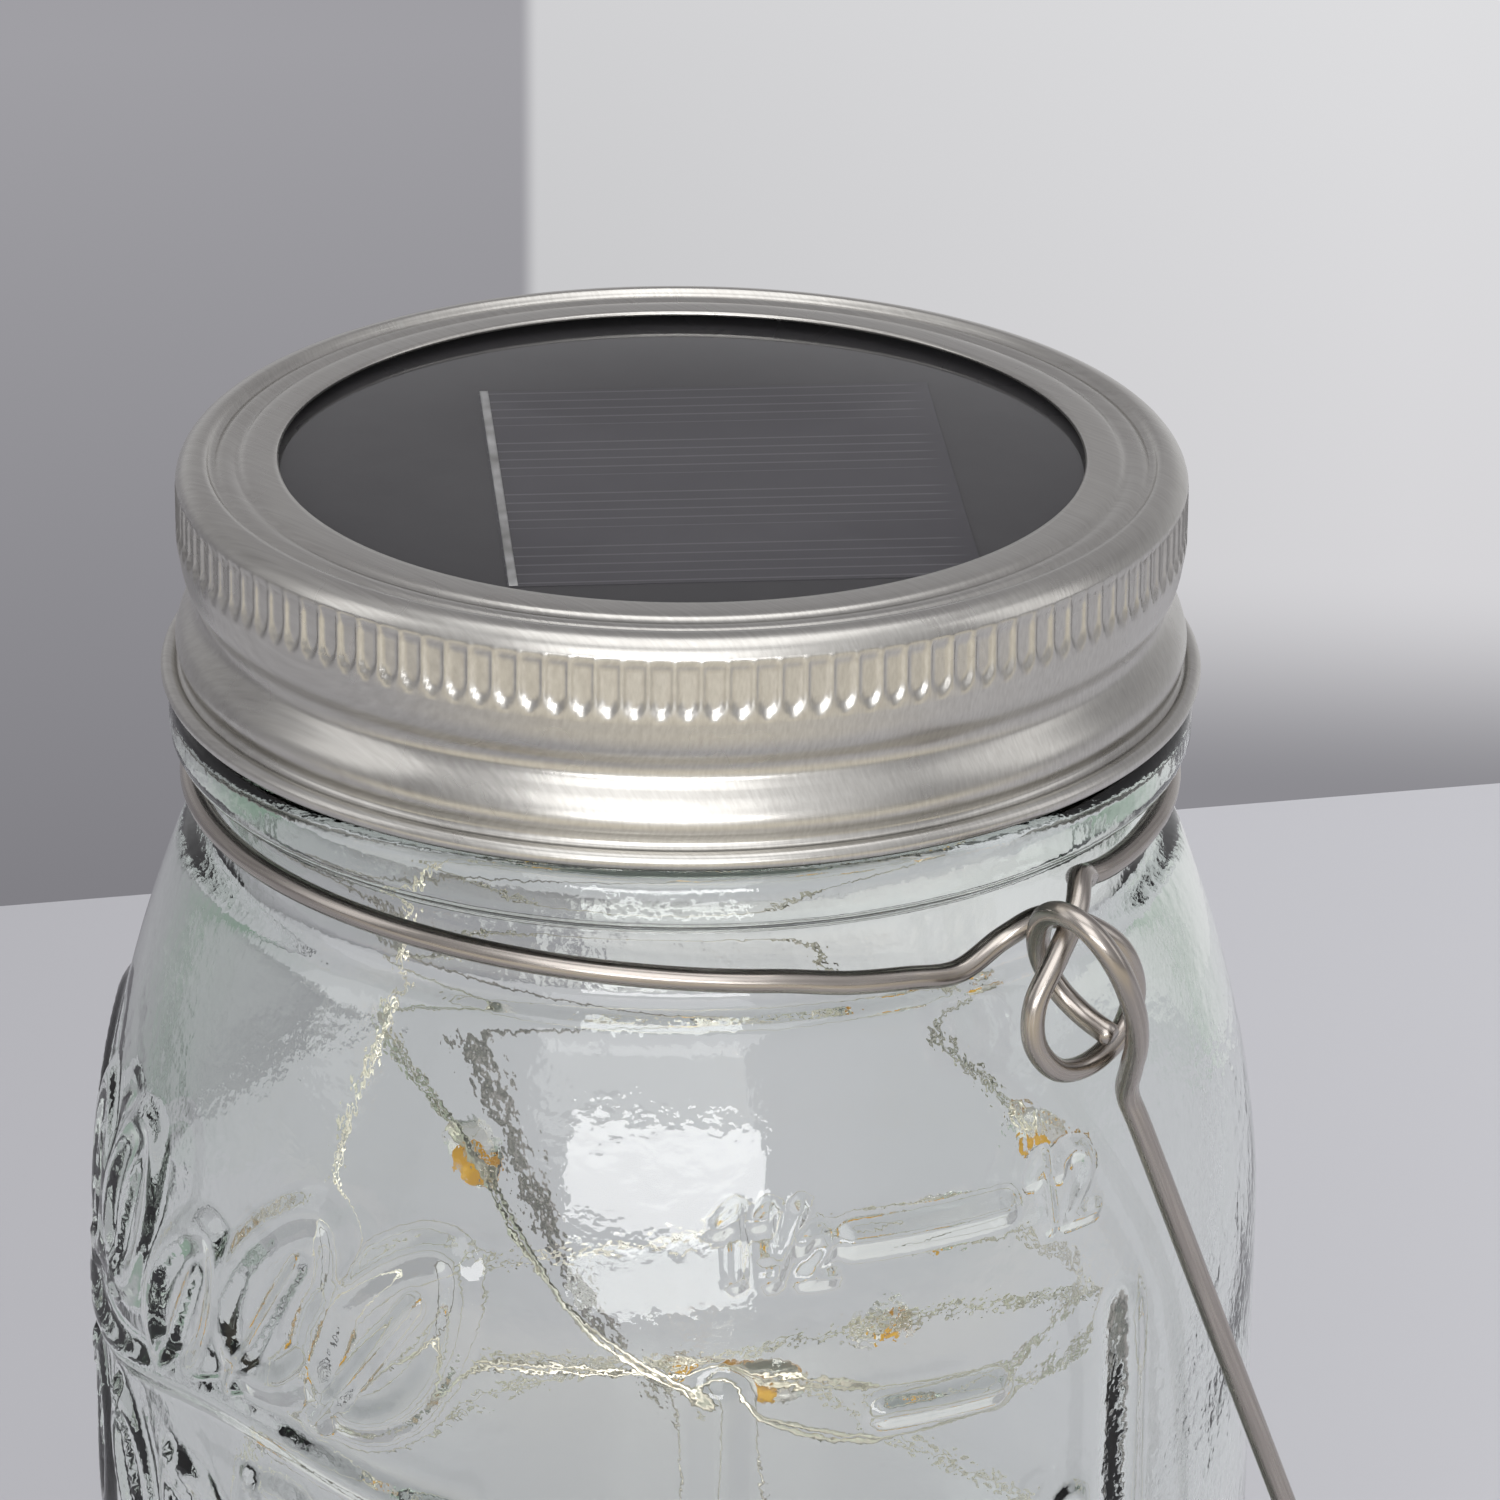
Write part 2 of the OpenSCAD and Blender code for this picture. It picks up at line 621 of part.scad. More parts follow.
// One pigtail loop, from where the upper half of the ring arrives to where the lower
// half leaves.
loop_points = [
    on_neck(13, 4.6), on_neck(9, 4.7), on_neck(5.8, 5.2), by_arm(-4.6, 3.6, 6.9), by_arm(-3.2, 1.6, 7.8),
    by_arm(-1.4, -0.6, 6.5), by_arm(-0.8, -2.9, 4.1), by_arm(-0.9, -4.7, 1.2), by_arm(-0.9, -4.6, -1.8),
    by_arm(-0.7, -2.6, -4.2), by_arm(-0.8, 0.6, -4.7), by_arm(-0.7, 3.4, -3.2), by_arm(-0.7, 4.5, -0.4),
    by_arm(-0.8, 3.2, 2.9), by_arm(-1.9, 0.9, 5), by_arm(-4.6, -0.3, 5.1), by_arm(-6.6, -2.2, 3.4),
    on_neck(-5.5, 1.6), on_neck(-9.5, 2), on_neck(-13.5, 2.4)];

// From a loop the wire climbs round the neck, by a square law, to the height at which it
// arrives at the other loop.
ring_high = 4.65;
climb = 2.3;
climb_from = 17;
climb_to = 100;
function ring_height(a) = ring_high - climb * pow(1 - min((a - climb_from) / (climb_to - climb_from), 1), 2);
neck_run = [for (a = [30 : 5 : 150]) [ring_r * cos(a), -ring_r * sin(a), ring_height(a)]];
half_ring = concat(smooth(loop_points, 3), neck_run);

module neck_ring()
    color([0.62, 0.60, 0.57])
        translate([0, 0, pivot_z])
            wire(concat(half_ring, half_turn(half_ring)), wire_d, 10, closed = true);

// The teardrop eye in the plane of the bail: distance outward from the arm, distance from
// the pivot towards the arch. It starts on the arm and closes against it.
eye_points = [[0, 12], [0, 8.3], [1.5, 5.3], [3.3, 2], [4.4, -1.7], [4.3, -5.2], [3, -7.9], [0.8, -8.8],
              [-1.5, -7.8], [-3.2, -5.4], [-4, -2.6], [-3.4, -0.1], [-1.7, 1.6], [0.8, 2.7]];
function eye(side) = [for (p = smooth(eye_points, 3)) [side * (arm_x + p[0]), p[1]]];
bail_flat = concat(flip(eye(1)), arc([0, bail_l - arm_x], arm_x, 0, 180, 36), eye(-1));

module bail_handle()
    color([0.62, 0.60, 0.57])
        translate([0, 0, pivot_z])
            wire([for (p = bail_flat) [p[0], p[1] * sin(bail_lean), -p[1] * cos(bail_lean)]], wire_d, 10);

// ---- light string --------------------------------------------------------------------
string_top = insert_low - gland_t;
string_points = concat([[gland_x, gland_y, string_top], [gland_x, gland_y, string_top - 5]], [
    [-14, -12, 99], [-14.5, -14.5, 88], [-15.5, -18, 78], [-16.5, -20.5, 61], [-27, -5, 51],
    [-18, 17.5, 47], [-2.5, 24, 54.5], [17.5, 26, 64], [26.5, 7, 65.5], [22.5, -12.5, 71],
    [0, -29, 69], [-20.5, -20.5, 52.5], [-27.5, 1.5, 44], [-23.5, 23, 42], [9, 31, 37.5],
    [22, 9, 30], [25.5, -9.5, 36.5], [14.5, -26, 32], [-11.5, -27.5, 28], [-28.5, -3.5, 23],
    [-18.5, 16.5, 18.5], [4.5, 31.5, 18.5], [29, 15, 20.5], [30, -6.5, 27.5], [8.5, -22, 32.5],
    [-14.5, -28, 37], [-29.5, -12.5, 53], [-28, 11.5, 56], [-2.5, 30, 61], [22, 18.5, 69],
    [31, -9, 69], [20, -24, 76.5], [2, -20.5, 84], [-22, -9, 87.5], [-16, 17.5, 90],
    [15, 22, 76.5]]);
bead_at = [5, 8, 11, 15, 19, 23, 27, 30, 34, 37];

module light_string()
    color([0.80, 0.76, 0.68]) wire(smooth(string_points, 2), string_d, 8);

// Places its children at a point of the string, with Z along the wire.
module on_string(k) {
    n = len(string_points);
    way = unit(string_points[min(k + 1, n - 1)] - string_points[k - 1]);
    translate(string_points[k]) rotate([0, acos(way[2]), atan2(way[1], way[0])]) children();
}

module led_beads()
    color([0.95, 0.93, 0.85, 0.5])
        for (k = bead_at)
            on_string(k) rotate_extrude($fn = 32)
                polygon([for (i = [0 : 8]) [led_d / 2 * sin(22.5 * i), -led_l / 2 * cos(22.5 * i)]]);

chip_l = 1.6;
module led_chips()
    color([0.95, 0.75, 0.15])
        for (k = bead_at)
            on_string(k) translate([string_d / 2 - 0.1, -0.5, -chip_l / 2]) cube([0.8, 1, chip_l]);

glass_jar();
neck_ring();
bail_handle();
screw_band();
rim_gasket();
solar_housing();
panel_board();
solar_cell();
cell_busbar();
panel_cover();
panel_lead_red();
panel_lead_black();
circuit_board();
driver_chip();
inductor();
battery();
contact_spring();
contact_plate();
bottom_cover();
cover_screws();
battery_door();
door_screw();
switch_body();
switch_slider();
string_grommet();
light_string();
led_beads();
led_chips();
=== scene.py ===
"""Mason jar lantern: a glass jar under a screw band, a solar panel in the lid, a wire hanger
and a string of small lights. Lengths in the shape tables are millimetres."""

import math

import bpy
import numpy as np
from mathutils import Matrix, Vector


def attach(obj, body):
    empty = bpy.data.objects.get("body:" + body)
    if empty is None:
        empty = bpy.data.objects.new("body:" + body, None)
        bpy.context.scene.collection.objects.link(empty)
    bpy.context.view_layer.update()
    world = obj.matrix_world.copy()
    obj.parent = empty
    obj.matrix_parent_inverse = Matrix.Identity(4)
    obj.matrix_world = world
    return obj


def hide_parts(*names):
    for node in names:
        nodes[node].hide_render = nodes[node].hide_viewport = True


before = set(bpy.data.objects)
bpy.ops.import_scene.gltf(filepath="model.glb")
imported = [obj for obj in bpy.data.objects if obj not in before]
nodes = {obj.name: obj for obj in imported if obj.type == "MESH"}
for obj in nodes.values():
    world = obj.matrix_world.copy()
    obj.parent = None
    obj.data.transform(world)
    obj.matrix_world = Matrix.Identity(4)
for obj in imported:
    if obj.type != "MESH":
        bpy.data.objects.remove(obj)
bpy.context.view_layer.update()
MM = 0.001

# ---- camera --------------------------------------------------------------------------

CAMERA_PLACE = Vector((0.384054, -0.348239, 0.328471))
CAMERA_AIM = Vector((0.003314, 0.003586, 0.107444))
CAMERA_ROLL = math.radians(0.509)
CAMERA_LENS = 192.0
SENSOR = 36.0


def set_camera():
    """The camera looks from its place to its aim, turned a little about its own line of sight."""
    data = bpy.data.cameras.new("camera")
    data.lens, data.sensor_width = CAMERA_LENS, SENSOR
    data.clip_start, data.clip_end = 0.02, 50.0
    camera = bpy.data.objects.new("camera", data)
    bpy.context.scene.collection.objects.link(camera)
    look = (CAMERA_AIM - CAMERA_PLACE).to_track_quat("-Z", "Y").to_matrix().to_4x4()
    roll = Matrix.Rotation(CAMERA_ROLL, 4, "Z")
    camera.matrix_world = Matrix.Translation(CAMERA_PLACE) @ look @ roll
    bpy.context.scene.camera = camera


set_camera()

# ---- mesh from grids -----------------------------------------------------------------


def tile(points, fan=False, loop=False, lay=None):
    """A skin through a grid of points in millimetres. Each row is a ring, closed on itself.
    The rows join end to end if loop, or close on a point at each end if fan. lay is the
    pattern's place, in metres: one list across the columns, one across the rows."""
    rows, cols = points.shape[:2]
    i = np.arange(rows if loop else rows - 1)[:, None]
    j = np.arange(cols)[None, :]
    i2, j2 = (i + 1) % rows, (j + 1) % cols
    quads = np.stack([i * cols + j, i * cols + j2, i2 * cols + j2, i2 * cols + j], -1)
    u, v = lay if lay is not None else (np.arange(cols + 1) * MM, np.arange(rows + 1) * MM)
    u, v = np.asarray(u, float), np.asarray(v, float)
    ui, vi = np.broadcast_arrays(u[j], v[i])
    uo, vo = np.broadcast_arrays(u[j + 1], v[np.minimum(i + 1, len(v) - 1)])
    quad_uv = np.stack([np.stack([ui, vi], -1), np.stack([uo, vi], -1),
                        np.stack([uo, vo], -1), np.stack([ui, vo], -1)], -2)
    verts = points.reshape(-1, 3)
    tris, tri_uv = np.zeros((0, 3), int), np.zeros((0, 3, 2))
    if fan:
        k, k2, n = np.arange(cols), (np.arange(cols) + 1) % cols, len(verts)
        verts = np.vstack([verts, points[0].mean(0), points[-1].mean(0)])
        top = (rows - 1) * cols
        tris = np.vstack([np.stack([k2, k, np.full(cols, n)], -1),
                          np.stack([top + k, top + k2, np.full(cols, n + 1)], -1)])
        tri_uv = np.stack([np.stack([np.full(3, u[0]), np.full(3, v[0])], -1)] * len(tris))
    quads, quad_uv = quads.reshape(-1, 4), quad_uv.reshape(-1, 4, 2)
    faces = np.vstack([quads[:, :3], quads[:, [0, 2, 3]], tris])
    a, b, c = (verts[faces[:, k]] for k in range(3))
    if np.sum(a * np.cross(b, c)) < 0:
        quads, quad_uv = quads[:, ::-1], quad_uv[:, ::-1]
        tris, tri_uv = tris[:, ::-1], tri_uv[:, ::-1]
    return verts, quads, tris, quad_uv, tri_uv


def piece(name, tiles, look, body, slot, *stands_for):
    """One object from tiles, at the origin, smooth, riding on a CAD body."""
    verts, quads, tris, quad_uv, tri_uv, start = [], [], [], [], [], 0
    for v, q, t, quv, tuv in tiles:
        verts.append(v)
        quads.append(q + start)
        tris.append(t + start)
        quad_uv.append(quv)
        tri_uv.append(tuv)
        start += len(v)
    mesh = bpy.data.meshes.new(name)
    faces = np.vstack(quads).tolist() + np.vstack(tris).tolist()
    mesh.from_pydata(np.vstack(verts) * MM, [], faces)
    lay = mesh.uv_layers.new(name="lay")
    uv = np.concatenate([np.vstack(quad_uv).ravel(), np.vstack(tri_uv).ravel()])
    lay.data.foreach_set("uv", uv.astype(np.float32))
    mesh.shade_smooth()
    mesh.materials.append(look)
    made = bpy.data.objects.new(name, mesh)
    bpy.context.scene.collection.objects.link(made)
    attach(made, body)
    if stands_for:
        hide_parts(*stands_for)
    return made


def arc(x, y, r, start, end, steps):
    """Points on a circle round (x, y), from one angle to the other, in degrees."""
    a = np.radians(np.linspace(start, end, steps + 1))
    return np.stack([x + r * np.cos(a), y + r * np.sin(a)], -1)


def lengths(points):
    """Distance along a line of points, from its start."""
    return np.concatenate([[0], np.cumsum(np.linalg.norm(np.diff(points, axis=0), axis=1))])


def even(points, step):
    """The line's points taken again at about even steps, without its last one."""
    along = lengths(points)
    at = np.linspace(0, along[-1], max(int(round(along[-1] / step)), 1) + 1)[:-1]
    return np.stack([np.interp(at, along, points[:, k]) for k in range(points.shape[1])], -1)


def curve(points, steps, closed=False):
    """Smooth curve through the points: between two of them a cubic whose slope at each is
    half the way between that point's neighbours."""
    p = np.asarray(points, float)
    if closed:
        q = np.vstack([p[-1:], p, p[:2]])
    else:
        q = np.vstack([2 * p[:1] - p[1:2], p, 2 * p[-1:] - p[-2:-1]])
    a, b, c, d = q[:-3], q[1:-2], q[2:-1], q[3:]
    t = (np.arange(steps) / steps)[None, :, None]
    a, b, c, d = (k[:, None, :] for k in (a, b, c, d))
    made = 0.5 * (2 * b + (c - a) * t + (2 * a - 5 * b + 4 * c - d) * t**2
                  + (3 * b - a - 3 * c + d) * t**3)
    made = made.reshape(-1, p.shape[1])
    return made if closed else np.vstack([made, p[-1:]])


def turned(profile, angles):
    """Surface of revolution: the profile's radius and height, carried round the Z axis."""
    a = np.radians(angles)[None, :]
    r, z = profile[:, 0][:, None], profile[:, 1][:, None]
    return np.stack([r * np.cos(a), r * np.sin(a), z + 0 * a], -1)


def carried(path, closed=False):
    """Direction and one normal at each point of a path. The normal is carried along
    without twist, and a closed path spreads the angle left over along its length."""
    if closed:
        ahead = np.roll(path, -1, 0) - np.roll(path, 1, 0)
    else:
        ahead = np.gradient(path, axis=0)
    ahead /= np.linalg.norm(ahead, axis=1)[:, None]
    start = np.array([0, 0, 1.0]) if abs(ahead[0, 2]) < 0.8 else np.array([1.0, 0, 0])
    side = [start]
    for way in ahead:
        left = side[-1] - (side[-1] @ way) * way
        side.append(left / np.linalg.norm(left))
    side = np.array(side[1:])
    over = np.cross(ahead, side)
    if closed:
        first = side[-1] - (side[-1] @ ahead[0]) * ahead[0]
        left_over = math.atan2(first @ over[0], first @ side[0])
        turn = -left_over * np.arange(len(path)) / len(path)
        side = np.cos(turn)[:, None] * side + np.sin(turn)[:, None] * over
    return ahead, side


def tube(path, radius, sides, closed=False, aside=0.0, turns=0.0, start=0.0):
    """Round wire: at each point of the path a ring of that radius, in the plane across the
    path. aside moves its middle off the path, in a direction that turns along it."""
    ahead, side = carried(path, closed)
    over = np.cross(ahead, side)
    n = len(path)
    turn = 2 * np.pi * (start + turns * np.arange(n) / n)[:, None]
    middle = path + aside * (np.cos(turn) * side + np.sin(turn) * over)
    size = np.full(n, float(radius))
    if not closed:
        size[[0, -1]] *= 0.7
    a = 2 * np.pi * np.arange(sides) / sides
    ring = np.cos(a)[None, :, None] * side[:, None, :] + np.sin(a)[None, :, None] * over[:, None, :]
    along = lengths(np.vstack([path, path[:1]]) if closed else path) * MM
    round_it = 2 * np.pi * radius * np.arange(sides + 1) / sides * MM
    return tile(middle[:, None, :] + size[:, None, None] * ring, fan=not closed, loop=closed,
                lay=(round_it, along))


def window(x, low, high, soft):
    """1 between low and high, 0 outside, with a cubic step of that width at each side."""
    up = np.clip((x - low) / soft + 0.5, 0, 1)
    down = np.clip((high - x) / soft + 0.5, 0, 1)
    return up * up * (3 - 2 * up) * down * down * (3 - 2 * down)


# ---- materials -----------------------------------------------------------------------


def colour(value):
    """sRGB hex to linear light."""
    s = np.array([int(value[k:k + 2], 16) for k in (1, 3, 5)]) / 255
    low, high = s / 12.92, ((s + 0.055) / 1.055) ** 2.4
    return (*np.where(s <= 0.04045, low, high), 1.0)


def add(tree, kind, settings):
    """Adds a node. A lower-case key is one of its properties and any other a socket, by
    name or number, which takes a value or a link from another node's socket."""
    made = tree.nodes.new("ShaderNode" + kind)
    for key, value in settings.items():
        if isinstance(key, str) and key.islower():
            setattr(made, key, value)
        elif isinstance(value, bpy.types.NodeSocket):
            tree.links.new(value, made.inputs[key])
        else:
            made.inputs[key].default_value = value
    return made


def material(name, settings):
    """A material whose one shader takes these settings."""
    made = bpy.data.materials.new(name)
    made.use_nodes = True
    made.node_tree.nodes.clear()
    shader = add(made.node_tree, "BsdfPrincipled", settings)
    add(made.node_tree, "OutputMaterial", {"Surface": shader.outputs["BSDF"]})
    return made, made.node_tree, shader


def moulded(name, tone, second, roughness, grain, depth, settings=None):
    """A dense surface with two close tones, a grain of that size in millimetres and a
    relief of that depth, for moulded, rolled and painted parts."""
    made, tree, shader = material(name, dict(settings or {}))
    place = add(tree, "TexCoord", {})
    noise = add(tree, "TexNoise", {"Vector": place.outputs["Object"], "Scale": 1 / (grain * MM),
                                   "Detail": 3.0, "Roughness": 0.6})
    broad = add(tree, "TexNoise", {"Vector": place.outputs["Object"], "Scale": 0.15 / (grain * MM),
                                   "Detail": 1.0})
    mixed = add(tree, "Mix", {"data_type": "RGBA", 0: broad.outputs["Fac"],
                              6: colour(tone), 7: colour(second)})
    rough = add(tree, "MapRange", {"Value": noise.outputs["Fac"], "From Min": 0.3, "From Max": 0.7,
                                   "To Min": roughness - 0.06, "To Max": roughness + 0.06})
    bump = add(tree, "Bump", {"Height": noise.outputs["Fac"], "Strength": 1.0,
                              "Distance": depth * MM})
    tree.links.new(mixed.outputs[2], shader.inputs["Base Color"])
    tree.links.new(rough.outputs["Result"], shader.inputs["Roughness"])
    tree.links.new(bump.outputs["Normal"], shader.inputs["Normal"])
    return made


def lamp_clear(made, tree, shader):
    """Lets lamps light what is behind the glass: their rays pass it without bending."""
    out = next(n for n in tree.nodes if n.type == "OUTPUT_MATERIAL")
    path = add(tree, "LightPath", {})
    clear = add(tree, "BsdfTransparent", {"Color": (0.95, 0.97, 0.96, 1)})
    both = add(tree, "MixShader", {0: path.outputs["Is Shadow Ray"], 1: shader.outputs["BSDF"],
                                   2: clear.outputs["BSDF"]})
    tree.links.new(both.outputs["Shader"], out.inputs["Surface"])
    return out


# Soda-lime glass, pressed in a mould and fire-polished: clear face on, grey-green where
# the eye looks along the wall, with a fine orange-peel skin that frays reflections.
glass, tree, shader = material("pressed_soda_lime_glass", {
    "Base Color": (1, 1, 1, 1), "Roughness": 0.0, "IOR": 1.52, "Transmission Weight": 1.0})
place = add(tree, "TexCoord", {})
peel = add(tree, "TexNoise", {"Vector": place.outputs["Object"], "Scale": 1 / (1.5 * MM),
                              "Detail": 2.5, "Roughness": 0.55})
slow = add(tree, "TexNoise", {"Vector": place.outputs["Object"], "Scale": 1 / (12 * MM),
                              "Detail": 1.0})
skin = add(tree, "Bump", {"Height": peel.outputs["Fac"], "Strength": 1.0, "Distance": 0.034 * MM})
skin = add(tree, "Bump", {"Height": slow.outputs["Fac"], "Strength": 1.0, "Distance": 0.2 * MM,
                          "Normal": skin.outputs["Normal"]})
tree.links.new(skin.outputs["Normal"], shader.inputs["Normal"])
out = lamp_clear(glass, tree, shader)
tint = add(tree, "VolumeAbsorption", {"Color": (0.84, 0.91, 0.845, 1), "Density": 58.0})
tree.links.new(tint.outputs["Volume"], out.inputs["Volume"])

# Tinplate, rolled and brushed before it is pressed: a satin metal with fine parallel
# scratches and slightly uneven shine.
tinplate, tree, shader = material("brushed_tinplate", {
    "Metallic": 1.0, "Anisotropic": 0.35})
place = add(tree, "TexCoord", {})
lined = add(tree, "Mapping", {"Vector": place.outputs["Object"],
                              "Rotation": (0, 0, math.radians(-38)), "Scale": (150, 5200, 1400)})
brush = add(tree, "TexNoise", {"Vector": lined.outputs["Vector"], "Scale": 1.0, "Detail": 2.0})
cloud = add(tree, "TexNoise", {"Vector": place.outputs["Object"], "Scale": 1 / (7 * MM),
                               "Detail": 2.0})
tones = add(tree, "Mix", {"data_type": "RGBA", 0: brush.outputs["Fac"],
                          6: colour("#B3B0AB"), 7: colour("#D2D0CB")})
shine = add(tree, "MapRange", {"Value": cloud.outputs["Fac"], "From Min": 0.3, "From Max": 0.7,
                               "To Min": 0.25, "To Max": 0.34})
bump = add(tree, "Bump", {"Height": brush.outputs["Fac"], "Strength": 1.0, "Distance": 0.006 * MM})
tree.links.new(tones.outputs[2], shader.inputs["Base Color"])
tree.links.new(shine.outputs["Result"], shader.inputs["Roughness"])
tree.links.new(bump.outputs["Normal"], shader.inputs["Normal"])

# Stainless steel wire, drawn through a die: warm grey, with streaks along it.
steel, tree, shader = material("drawn_stainless_steel", {"Metallic": 1.0})
lay = add(tree, "UVMap", {"uv_map": "lay"})
lined = add(tree, "Mapping", {"Vector": lay.outputs["UV"], "Scale": (4200, 110, 1)})
streak = add(tree, "TexNoise", {"Vector": lined.outputs["Vector"], "Scale": 1.0, "Detail": 3.0})
tones = add(tree, "Mix", {"data_type": "RGBA", 0: streak.outputs["Fac"],
                          6: colour("#8E8781"), 7: colour("#C6BFB8")})
shine = add(tree, "MapRange", {"Value": streak.outputs["Fac"], "From Min": 0.3, "From Max": 0.7,
                               "To Min": 0.18, "To Max": 0.34})
bump = add(tree, "Bump", {"Height": streak.outputs["Fac"], "Strength": 1.0, "Distance": 0.008 * MM})
tree.links.new(tones.outputs[2], shader.inputs["Base Color"])
tree.links.new(shine.outputs["Result"], shader.inputs["Roughness"])
tree.links.new(bump.outputs["Normal"], shader.inputs["Normal"])

# Clear epoxy poured over the cell: smooth and slightly smoky.
resin, tree, shader = material("poured_epoxy", {
    "Base Color": (0.86, 0.85, 0.86, 1), "Roughness": 0.04, "IOR": 1.38,
    "Transmission Weight": 1.0})
place = add(tree, "TexCoord", {})
slow = add(tree, "TexNoise", {"Vector": place.outputs["Object"], "Scale": 1 / (14 * MM),
                              "Detail": 1.0})
skin = add(tree, "Bump", {"Height": slow.outputs["Fac"], "Strength": 1.0, "Distance": 0.03 * MM})
tree.links.new(skin.outputs["Normal"], shader.inputs["Normal"])
lamp_clear(resin, tree, shader)

# Silicon wafer, printed with fine silver finger lines in groups of five, which fade out
# before the wafer's far edge. They are drawn a little wider than real ones, to show.
CELL_TURN, CELL_AT, CELL_X, CELL_Y = 52.3, (4.3, 0.0), 32.0, 37.0
FINGER_PITCH, FINGER_GROUP, FINGER_WIDE = 1.6, 9.85, 0.16
wafer, tree, shader = material("printed_silicon_wafer", {"IOR": 1.6})
place = add(tree, "TexCoord", {})
turn = math.radians(CELL_TURN)
centred = add(tree, "Mapping", {"vector_type": "TEXTURE", "Vector": place.outputs["Object"],
                                "Location": (CELL_AT[0] * MM, CELL_AT[1] * MM, 0),
                                "Rotation": (0, 0, turn), "Scale": (MM, MM, MM)})
apart = add(tree, "SeparateXYZ", {"Vector": centred.outputs["Vector"]})
from_edge = add(tree, "Math", {"operation": "ADD", 0: apart.outputs["Y"], 1: CELL_Y / 2 - 0.5})
in_group = add(tree, "Math", {"operation": "MODULO", 0: from_edge.outputs[0], 1: FINGER_GROUP})
wave = add(tree, "Math", {"operation": "PINGPONG", 0: in_group.outputs[0], 1: FINGER_PITCH / 2})
near = add(tree, "MapRange", {"interpolation_type": "SMOOTHSTEP", "Value": wave.outputs[0],
                              "From Min": FINGER_WIDE, "From Max": FINGER_WIDE / 3})
five = add(tree, "Math", {"operation": "LESS_THAN", 0: in_group.outputs[0], 1: 4.5 * FINGER_PITCH})
fade = add(tree, "MapRange", {"interpolation_type": "SMOOTHSTEP", "Value": apart.outputs["X"],
                              "From Min": CELL_X / 2 - 0.3, "From Max": CELL_X / 2 - 2.2,
                              "To Max": 0.42})
line = add(tree, "Math", {"operation": "MULTIPLY", 0: near.outputs[0], 1: five.outputs[0]})
line = add(tree, "Math", {"operation": "MULTIPLY", 0: line.outputs[0], 1: fade.outputs[0]})
grain = add(tree, "TexNoise", {"Vector": centred.outputs["Vector"], "Scale": 0.25, "Detail": 2.0})
silicon = add(tree, "Mix", {"data_type": "RGBA", 0: grain.outputs["Fac"],
                            6: colour("#4F4C53"), 7: colour("#5B585F")})
printed = add(tree, "Mix", {"data_type": "RGBA", 0: line.outputs[0], 6: silicon.outputs[2],
                            7: colour("#A8A6AA")})
rough = add(tree, "MapRange", {"Value": line.outputs[0], "To Min": 0.35, "To Max": 0.5})
tree.links.new(printed.outputs[2], shader.inputs["Base Color"])
tree.links.new(rough.outputs["Result"], shader.inputs["Roughness"])

# Solder-tinned copper ribbon: dull silver, mottled where the solder set.
ribbon = moulded("tinned_copper_ribbon", "#7E7B76", "#FFFFFF", 0.45, 0.3, 0.05, {"Metallic": 1.0})
board_black = moulded("black_backing_board", "#4A484B", "#545255", 0.55, 0.6, 0.01)
gasket_rubber = moulded("plastisol_gasket", "#D9D6CC", "#CFCBC0", 0.6, 0.8, 0.03)
black_abs = moulded("moulded_black_ABS", "#1C1C1E", "#232326", 0.42, 0.5, 0.03)
fibre_board = moulded("green_fibreglass_board", "#1B5A33", "#257040", 0.35, 0.4, 0.02)
chip_epoxy = moulded("black_chip_epoxy", "#17171A", "#222225", 0.5, 0.2, 0.01)
inductor_coat = moulded("green_inductor_coat", "#3C7F55", "#4E9467", 0.4, 0.3, 0.02)
battery_sleeve = moulded("shrink_sleeve_PVC", "#2F8F52", "#37A05E", 0.3, 1.5, 0.04)
nickel = moulded("nickel_plated_steel", "#B9B3A8", "#D3CEC4", 0.24, 0.6, 0.01, {"Metallic": 1.0})
zinc = moulded("zinc_plated_steel", "#9C9DA2", "#B9BABE", 0.32, 0.5, 0.02, {"Metallic": 1.0})
switch_tin = moulded("tinned_switch_case", "#A2A4A8", "#BFC0C3", 0.3, 0.7, 0.01, {"Metallic": 1.0})
switch_cap = moulded("moulded_white_POM", "#E2E0DA", "#D8D6CF", 0.4, 0.4, 0.02)
grommet_rubber = moulded("black_rubber", "#262626", "#303030", 0.6, 0.3, 0.03)
lead_red = moulded("red_PVC_sleeve", "#B81E18", "#A51812", 0.45, 0.5, 0.02)
lead_black = moulded("black_PVC_sleeve", "#19191B", "#242427", 0.45, 0.5, 0.02)

# Enamelled copper wire with a tin flash: champagne silver, and glossy under the lacquer.
string_wire = moulded("lacquered_tinned_copper", "#DED5C4", "#F8F3E8", 0.32, 1.2, 0.01,
                      {"Metallic": 1.0, "Coat Weight": 0.6, "Coat Roughness": 0.08})
# Clear hot-set resin over each light.
bead_resin, tree, shader = material("clear_drop_resin", {
    "Base Color": (0.99, 0.97, 0.92, 1), "Roughness": 0.02, "IOR": 1.49,
    "Transmission Weight": 1.0})
place = add(tree, "TexCoord", {})
slow = add(tree, "TexNoise", {"Vector": place.outputs["Object"], "Scale": 1 / (1.5 * MM),
                              "Detail": 1.0})
skin = add(tree, "Bump", {"Height": slow.outputs["Fac"], "Strength": 1.0, "Distance": 0.06 * MM})
tree.links.new(skin.outputs["Normal"], shader.inputs["Normal"])
lamp_clear(bead_resin, tree, shader)
# Phosphor in silicone over the light's chip, unlit: egg-yolk yellow and matt. Its faint
# glow is painted light, since the chip is unlit and is no lamp.
phosphor_painted_glow = moulded("silicone_phosphor_painted_glow", "#FFC21C", "#FFD957", 0.45, 0.5, 0.02,
                   {"Emission Color": colour("#FFB318"), "Emission Strength": 0.3})

# ---- light string --------------------------------------------------------------------

